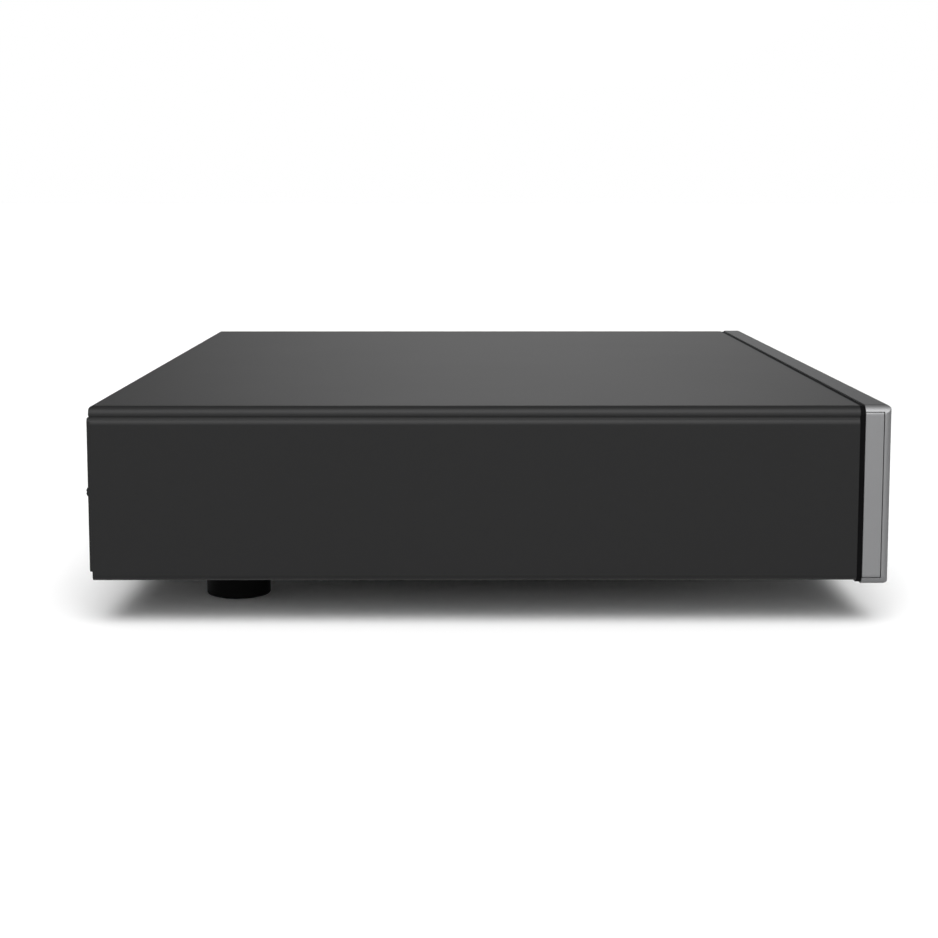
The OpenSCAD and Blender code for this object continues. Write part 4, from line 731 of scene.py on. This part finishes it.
class STREAMER_OT_display(Operator):
    """Lit picture behind the window, with the standby light and the remote control's eye"""
    bl_idname = "streamer.display"
    bl_label = "Display"

    def execute(self, context):
        tint = np.array([*context.scene.streamer_finish.picture])
        x, _, z = middle("display_module")
        gap, thick = 0.02, 0.03
        face = span("display_module")[0][1] - gap
        shapes, colours = [], []

        def show(outline, colour, rise=thick):
            """One lit plate of a single colour."""
            shape = plate(upright_at(outline, x, face, z), FRONT, rise)
            shapes.append(shape)
            colours.append(np.tile([*colour, 1], (len(shape[0]), 1)))

        # Level bars: their heights follow the product of a sine and a cosine under a falling envelope
        first, pitch, foot, tallest = -22, 2.3, -3.5, 13
        index = np.arange(32)
        swing = np.abs(np.sin(index * 0.61) * np.cos(index * 0.23))
        level = (0.3 + 0.7 * swing) * np.exp(-index / 38)
        for along, height in zip(first + index * pitch, tallest * level):
            show(bar(1.5, height, along, foot + height / 2), tint * 0.75)
        # The line under them with its played part and its dot, the play mark and the signal mark
        show(bar(73, 0.6, 13.6, -9.6), tint * 0.14)
        show(bar(31, 0.64, -7.4, -9.6), tint, rise=0.045)
        show(bar(1.8, 1.8, 8.1, -9.6), tint, rise=0.06)
        show(pointer(-22.7, 2.6, 1.5) + [0, 12.6], tint * 0.9)
        for step in range(4):
            show(bar(0.9, 0.9 + 0.7 * step, 45 + 1.5 * step, 11.6 + 0.35 * step), tint * 0.9)
        # Square panel of soft waves: each ring goes up its front and down its back, and its colour runs with
        # the sine of the distance from one corner
        count, size, left = 44, 26, -55
        ring = 2 * count
        steps = np.linspace(0, 1, count)
        u, v = np.meshgrid(steps, np.concatenate([steps, steps[::-1]]), indexing="ij")
        depth = np.broadcast_to(np.repeat([face - thick, face], count), u.shape)
        wave = 0.5 + 0.5 * np.sin(9 * np.hypot(u - 0.15, v - 0.1) - 1.5 * u)
        deep, pale = np.array([0.01, 0.05, 0.16]), np.array([0.16, 0.5, 0.62])
        glow = deep + wave[..., None] * (pale - deep) * (0.35 + 0.65 * v[..., None])
        panel = np.stack([x + left + size * u, depth, z - size / 2 + size * v], -1)
        ends = [list(range(start, start + ring)) for start in (0, ring * (count - 1))]
        shapes.append((panel.reshape(-1, 3), grid_faces(count, ring) + ends))
        colours.append(np.concatenate([glow, np.ones((count, ring, 1))], -1).reshape(-1, 4))
        piece("display_picture", together(*shapes), "picture", "case", tint=np.concatenate(colours))
        dress("standby_led", "lens")
        dress("ir_receiver", "dark_lens")
        return {"FINISHED"}


class STREAMER_OT_sockets(Operator):
    """Mains inlet, rocker and signal sockets: softened mouldings and shells, barrels, pins and contacts"""
    bl_idname = "streamer.sockets"
    bl_label = "Sockets"

    def execute(self, context):
        sizes = context.scene.streamer_sizes
        for node in ("mains_inlet", "power_switch", "power_rocker", "optical_sockets", "control_jacks"):
            softened(node, sizes.moulded_edge, "black_moulding")
        for node in ("optical_in_shutter", "optical_out_shutter"):
            softened(node, sizes.moulded_edge / 3, "black_moulding")
        for node in ("phono_blocks", "xlr_inserts"):
            dress(node, "black_moulding")
        for node, edge in (("xlr_shells", 1.0), ("ethernet_jack", 0.6), ("usb_shells", 0.3),
                           ("front_usb_shell", 0.3), ("mains_pins", 1.0)):
            softened(node, sizes.edge * edge, "bright_metal")
        dress("phono_insulators", "coloured_insert")
        dress("usb_tongues", "pale_insert")
        self.barrels()
        self.pins()
        self.contacts()
        return {"FINISHED"}

    def barrels(self):
        """Phono barrels: a closed profile goes up the outside, over flange and grooves, and down the bore."""
        low, high = span("phono_barrels")
        flange, outer, bore = 6.0, 4.15, 3.5
        back, lip = REAR_Y, high[1]
        profile = np.array([
            [bore, low[1]], [outer, low[1]], [outer, back], [flange - 0.35, back], [flange, back + 0.3],
            [flange, back + 0.7], [flange - 0.35, back + 1], [outer + 0.2, back + 1], [outer, back + 1.2],
            [outer, back + 2.4], [outer - 0.18, back + 2.55], [outer - 0.18, back + 2.85], [outer, back + 3],
            [outer, lip - 1.6], [outer - 0.12, lip - 1.5], [outer - 0.12, lip - 1.3], [outer, lip - 1.2],
            [outer, lip - 0.35], [outer - 0.1, lip - 0.1], [outer - 0.3, lip], [bore + 0.12, lip],
            [bore, lip - 0.12]])
        shapes = [turned(profile[:, 0], profile[:, 1], (x, z), steps=72, loop=True)
                  for x in (low[0] + flange, high[0] - flange) for z in (low[2] + flange, high[2] - flange)]
        piece("phono_barrels_turned", together(*shapes), "gold_plate", "case",
              ["phono_barrels"])

    def pins(self):
        """Balanced pins: a rod whose end is a quarter ellipse turned to a dome."""
        low, high = span("xlr_pins")
        radius, dome = 1.2, 1.6
        reach, lift, drop = 3.6, 2.1, 4.2
        bend = np.radians(np.linspace(0, 90, 9))
        across = np.concatenate([[0, radius], radius * np.cos(bend)])
        along = np.concatenate([[low[1], low[1]], high[1] - dome + dome * np.sin(bend)])
        side = (low[0] + radius + reach, high[0] - radius - reach)
        middle_z = low[2] + radius + drop
        shapes = [turned(across, along, (x + dx, middle_z + dz), steps=28)
                  for x in side for dx, dz in ((-reach, lift), (reach, lift), (0, -drop))]
        piece("xlr_pins_domed", together(*shapes), "gold_plate", "case", ["xlr_pins"])

    def contacts(self):
        """Contact strips: bent ones in the network socket, flat ones on the tongues of the data sockets."""
        low, high = span("ethernet_jack")
        x = (low[0] + high[0]) / 2
        count, pitch, strip_up = 8, 1.02, 11.8
        top = low[2] + strip_up
        bend = np.array([[-1.5, -0.35], [-2.4, -0.4], [-3.2, -0.7], [-8.6, -3.1], [-9.4, -3.3],
                         [-12.0, -3.3]])
        strips = []
        for offset in (np.arange(count) - (count - 1) / 2) * pitch:
            path = np.stack([np.full(len(bend), x + offset), high[1] + bend[:, 0], top + bend[:, 1]], 1)
            strips.append(ribbon(path, DOWN, half_width=0.2, height=0.22))
        tongue_low, tongue_high = span("usb_tongues")
        front_shell, data = middle("front_usb_shell"), span("usb_shells")
        # A flat shell's half width and its middle's height, and the tongue's height above that and its half
        shell_half, shell_up, tongue_up, tongue_half = 6.6, 2.9, 0.9, 0.92
        begin, reach = 0.2, 6.5
        for centre_x, centre_z, start, end in (
                (front_shell[0], front_shell[2], tongue_low[1] + begin, tongue_low[1] + reach),
                (data[0][0] + shell_half, low[2] + shell_up, tongue_high[1] - begin, tongue_high[1] - reach)):
            along = np.linspace(start, end, 5)
            under = np.full_like(along, centre_z + tongue_up - tongue_half)
            for offset in (-3.5, -1.0, 1.0, 3.5):
                path = np.stack([np.full_like(along, centre_x + offset), along, under], 1)
                strips.append(ribbon(path, DOWN, half_width=0.5, height=0.06))
        piece("socket_contacts", together(*strips), "gold_plate", "case")
        lamp_y, lamp_z = high[1] - SINK, high[2] - 0.85
        lamps = [plate(upright_at(bar(2.6, 1.0, side), x, lamp_y, lamp_z), BACK, height=0.05)
                 for side in (-6.0, 6.0)]
        piece("network_lamps", together(*lamps), "amber_lens", "case")


class STREAMER_OT_panel_print(Operator):
    """Printed lines that group the sockets, arrows for in and out, and the two marks on the mains rocker"""
    bl_idname = "streamer.panel_print"
    bl_label = "Rear print"

    def execute(self, context):
        print_height = context.scene.streamer_sizes.print_height / MM
        height, half_line = print_height + SINK, 0.18
        face = REAR_Y - SINK
        shapes = []
        groups = (("xlr_shells", 3.0, 1.0), ("phono_barrels", 2.5, 1.0), ("optical_sockets", 2.0, 0.0),
                  ("usb_shells", 2.0, -1.0), ("ethernet_jack", 2.0, 0.0), ("control_jacks", 2.0, -1.0))
        rise, drop, corner = 1.6, 3.2, 1.4
        half, reach, gap = 1.0, 1.7, 1.2
        for node, margin, arrow in groups:
            low, high = span(node)
            x, top = (low[0] + high[0]) / 2, high[2] + margin + rise
            line = bracket(high[0] - low[0] + 2 * margin, drop, corner)
            shapes.append(ribbon(upright_at(line, x, face, top), BACK, half_line, height))
            if arrow:
                mark = np.array([[-half, 0], [half, 0], [0, reach * arrow]])
                mark += [0, gap if arrow > 0 else gap + reach]
                shapes.append(plate(upright_at(mark, x, face, top), BACK, height))
        inlet, switch = span("mains_inlet"), span("power_switch")
        border = 7
        width, tall = switch[1][0] - inlet[0][0] + border, inlet[1][2] - inlet[0][2] + border
        centre = (switch[1][0] + inlet[0][0]) / 2
        line = rounded(width, tall, radius=2.5, steps=8)
        line = upright_at(line, centre, face, middle("mains_inlet")[2])
        shapes.append(ribbon(line, BACK, half_line, height, loop=True))
        piece("panel_lines", together(*shapes), "pale_print", "case")
        self.rocker_marks(print_height + 2 * SINK)
        return {"FINISHED"}

    def rocker_marks(self, height):
        """A bar and a ring on the rocker: flat marks leaned with its faces, then tilted with the whole."""
        x = middle("power_rocker")[0]
        pivot_in, tilt = 3, math.radians(11)
        pivot_y, pivot_z = REAR_Y - pivot_in, middle("power_switch")[2]
        # Each face rises from the valley above the pivot over half the rocker; the marks lie off the middle
        valley, rise, half, off = 3.6, 1.8, 9.0, 4.6
        slope = math.atan2(rise, half)
        line = upright_at(bar(0.7, 3.0), 0, 0, 0)
        ring = upright_at(arc((0, 0), radius=1.5, start=0, end=348, steps=30), 0, 0, 0)
        marks = ((1, plate(line, BACK, height)), (-1, ribbon(ring, BACK, 0.33, height, loop=True)))
        shapes = []
        for sign, (points, faces) in marks:
            out, up = points[:, 1], points[:, 2]
            lean = sign * slope
            y = out * math.cos(lean) + up * math.sin(lean) + valley + rise * off / half - SINK
            z = -out * math.sin(lean) + up * math.cos(lean) + sign * off
            turned_y = y * math.cos(tilt) - z * math.sin(tilt)
            turned_z = y * math.sin(tilt) + z * math.cos(tilt)
            shapes.append((np.stack([x + points[:, 0], pivot_y + turned_y, pivot_z + turned_z], 1), faces))
        piece("rocker_marks", together(*shapes), "pale_print", "power_rocker")


class STREAMER_OT_inside(Operator):
    """Boards, chips, transformer and wiring inside the case"""
    bl_idname = "streamer.inside"
    bl_label = "Inside"

    def execute(self, context):
        for node in ("control_board", "main_board", "power_board", "tact_switches", "signal_chips",
                     "capacitors", "network_module", "transformer", "board_standoffs", "board_screws",
                     "ribbon_cable", "mains_wiring"):
            dress(node, SLOT_OF[node])
        return {"FINISHED"}


class STREAMER_OT_stage(Operator):
    """Plain pale floor, three soft lights, pale room and the camera"""
    bl_idname = "streamer.stage"
    bl_label = "Stage"

    def execute(self, context):
        stage = context.scene.streamer_stage
        mesh = bpy.data.meshes.new("floor")
        half, under = 30, -0.0001
        corners = [(-half, -half, under), (half, -half, under), (half, half, under), (-half, half, under)]
        mesh.from_pydata(corners, [], [(0, 1, 2, 3)])
        floor = bpy.data.objects.new("floor", mesh)
        context.scene.collection.objects.link(floor)
        ground = principled("floor", Base_Color=(*stage.floor, 1), Roughness=1.0, Specular_IOR_Level=0.0)
        mesh.materials.append(ground[0])
        self.lamp(context, "overhead", stage.overhead, width=44, direction=(0.58, 0.03, -0.81))
        self.lamp(context, "fill", stage.fill, width=44, direction=(0.857, 0.0, -0.515))
        self.lamp(context, "top", stage.top, width=80, direction=(0.0, 0.0, -1.0))
        self.room(context, stage)
        self.camera(context, stage)
        context.scene.view_settings.view_transform = "Standard"
        return {"FINISHED"}

    def lamp(self, context, name, strength, width, direction):
        """A soft distant light of a width in degrees, shining along a direction."""
        light = bpy.data.lights.new(name, "SUN")
        light.energy = strength
        light.angle = math.radians(width)
        obj = bpy.data.objects.new(name, light)
        obj.rotation_euler = Vector(direction).to_track_quat("-Z", "Y").to_euler()
        context.scene.collection.objects.link(obj)

    def room(self, context, stage):
        """White near the horizon and dim above it; behind the object it stops lower, round a soft card."""
        world = bpy.data.worlds.new("room")
        context.scene.world = world
        world.use_nodes = True
        tree = world.node_tree
        link = tree.links.new
        back = tree.nodes["Background"]
        where = add(tree, "ShaderNodeTexCoord").outputs["Generated"]
        parts = add(tree, "ShaderNodeSeparateXYZ")
        link(where, parts.inputs[0])
        fade = add(tree, "ShaderNodeMapRange", interpolation_type="SMOOTHSTEP", To_Min=1.0, To_Max=stage.room)
        link(parts.outputs["Z"], fade.inputs["Value"])
        # Elevations in degrees where the white starts and ends its fade, elsewhere and behind the object
        for end, usual, behind in (("From Min", 13, 5.3), ("From Max", 18, 7)):
            edge = add(tree, "ShaderNodeMapRange", interpolation_type="SMOOTHSTEP",
                       From_Min=0.55, From_Max=0.85,
                       To_Min=math.sin(math.radians(usual)), To_Max=math.sin(math.radians(behind)))
            link(parts.outputs["X"], edge.inputs["Value"])
            link(edge.outputs["Result"], fade.inputs[end])
        card = add(tree, "ShaderNodeVectorMath", operation="DOT_PRODUCT")
        card.inputs[1].default_value = Vector((1.0, -0.045, 0.3)).normalized()
        wide, narrow = math.cos(math.radians(14)), math.cos(math.radians(3))
        soft = add(tree, "ShaderNodeMapRange", interpolation_type="SMOOTHSTEP",
                   From_Min=wide, From_Max=narrow, To_Min=0.0, To_Max=stage.glow)
        total = add(tree, "ShaderNodeMath", operation="ADD")
        link(where, card.inputs[0])
        link(card.outputs["Value"], soft.inputs["Value"])
        link(fade.outputs["Result"], total.inputs[0])
        link(soft.outputs["Result"], total.inputs[1])
        link(total.outputs[0], back.inputs["Strength"])
        back.inputs["Color"].default_value = (1, 1, 1, 1)

    def camera(self, context, stage):
        """Looks at the left side from a little above, along the direction given by a pitch and a yaw."""
        view = bpy.data.cameras.new("camera")
        view.sensor_width = 36.0
        view.lens = stage.lens
        view.clip_start, view.clip_end = 0.01, 200
        camera = bpy.data.objects.new("camera", view)
        camera.location = Vector((-989.42, 12.84, 164.16)) * MM
        pitch, yaw = 0.1327, -0.0037
        ahead = Vector((math.cos(pitch) * math.cos(yaw), math.cos(pitch) * math.sin(yaw), -math.sin(pitch)))
        camera.rotation_euler = ahead.to_track_quat("-Z", "Y").to_euler()
        context.scene.collection.objects.link(camera)
        context.scene.camera = camera


class STREAMER_PT_panel(Panel):
    """Lists the settings and the steps of the streamer"""
    bl_idname = "STREAMER_PT_panel"
    bl_label = "Network music streamer"
    bl_space_type = "VIEW_3D"
    bl_region_type = "UI"
    bl_category = "Streamer"

    def draw(self, context):
        for name, kind in SETTINGS.items():
            for field in kind.__annotations__:
                self.layout.prop(getattr(context.scene, name), field)
        for step in STEPS:
            self.layout.operator(step.bl_idname)


SETTINGS = {"streamer_finish": FinishSettings, "streamer_sizes": SizeSettings,
            "streamer_stage": StageSettings}
STEPS = (STREAMER_OT_case, STREAMER_OT_fascia, STREAMER_OT_key_marks, STREAMER_OT_knob, STREAMER_OT_display,
         STREAMER_OT_sockets, STREAMER_OT_panel_print, STREAMER_OT_inside, STREAMER_OT_stage)


def register():
    for name, kind in SETTINGS.items():
        bpy.utils.register_class(kind)
        setattr(Scene, name, PointerProperty(type=kind))
    for kind in (*STEPS, STREAMER_PT_panel):
        bpy.utils.register_class(kind)


def unregister():
    for kind in (STREAMER_PT_panel, *reversed(STEPS)):
        bpy.utils.unregister_class(kind)
    for name, kind in SETTINGS.items():
        delattr(Scene, name)
        bpy.utils.unregister_class(kind)


def main():
    register()
    for step in STEPS:
        family, name = step.bl_idname.split(".")
        getattr(getattr(bpy.ops, family), name)()


if __name__ == "__main__":
    main()
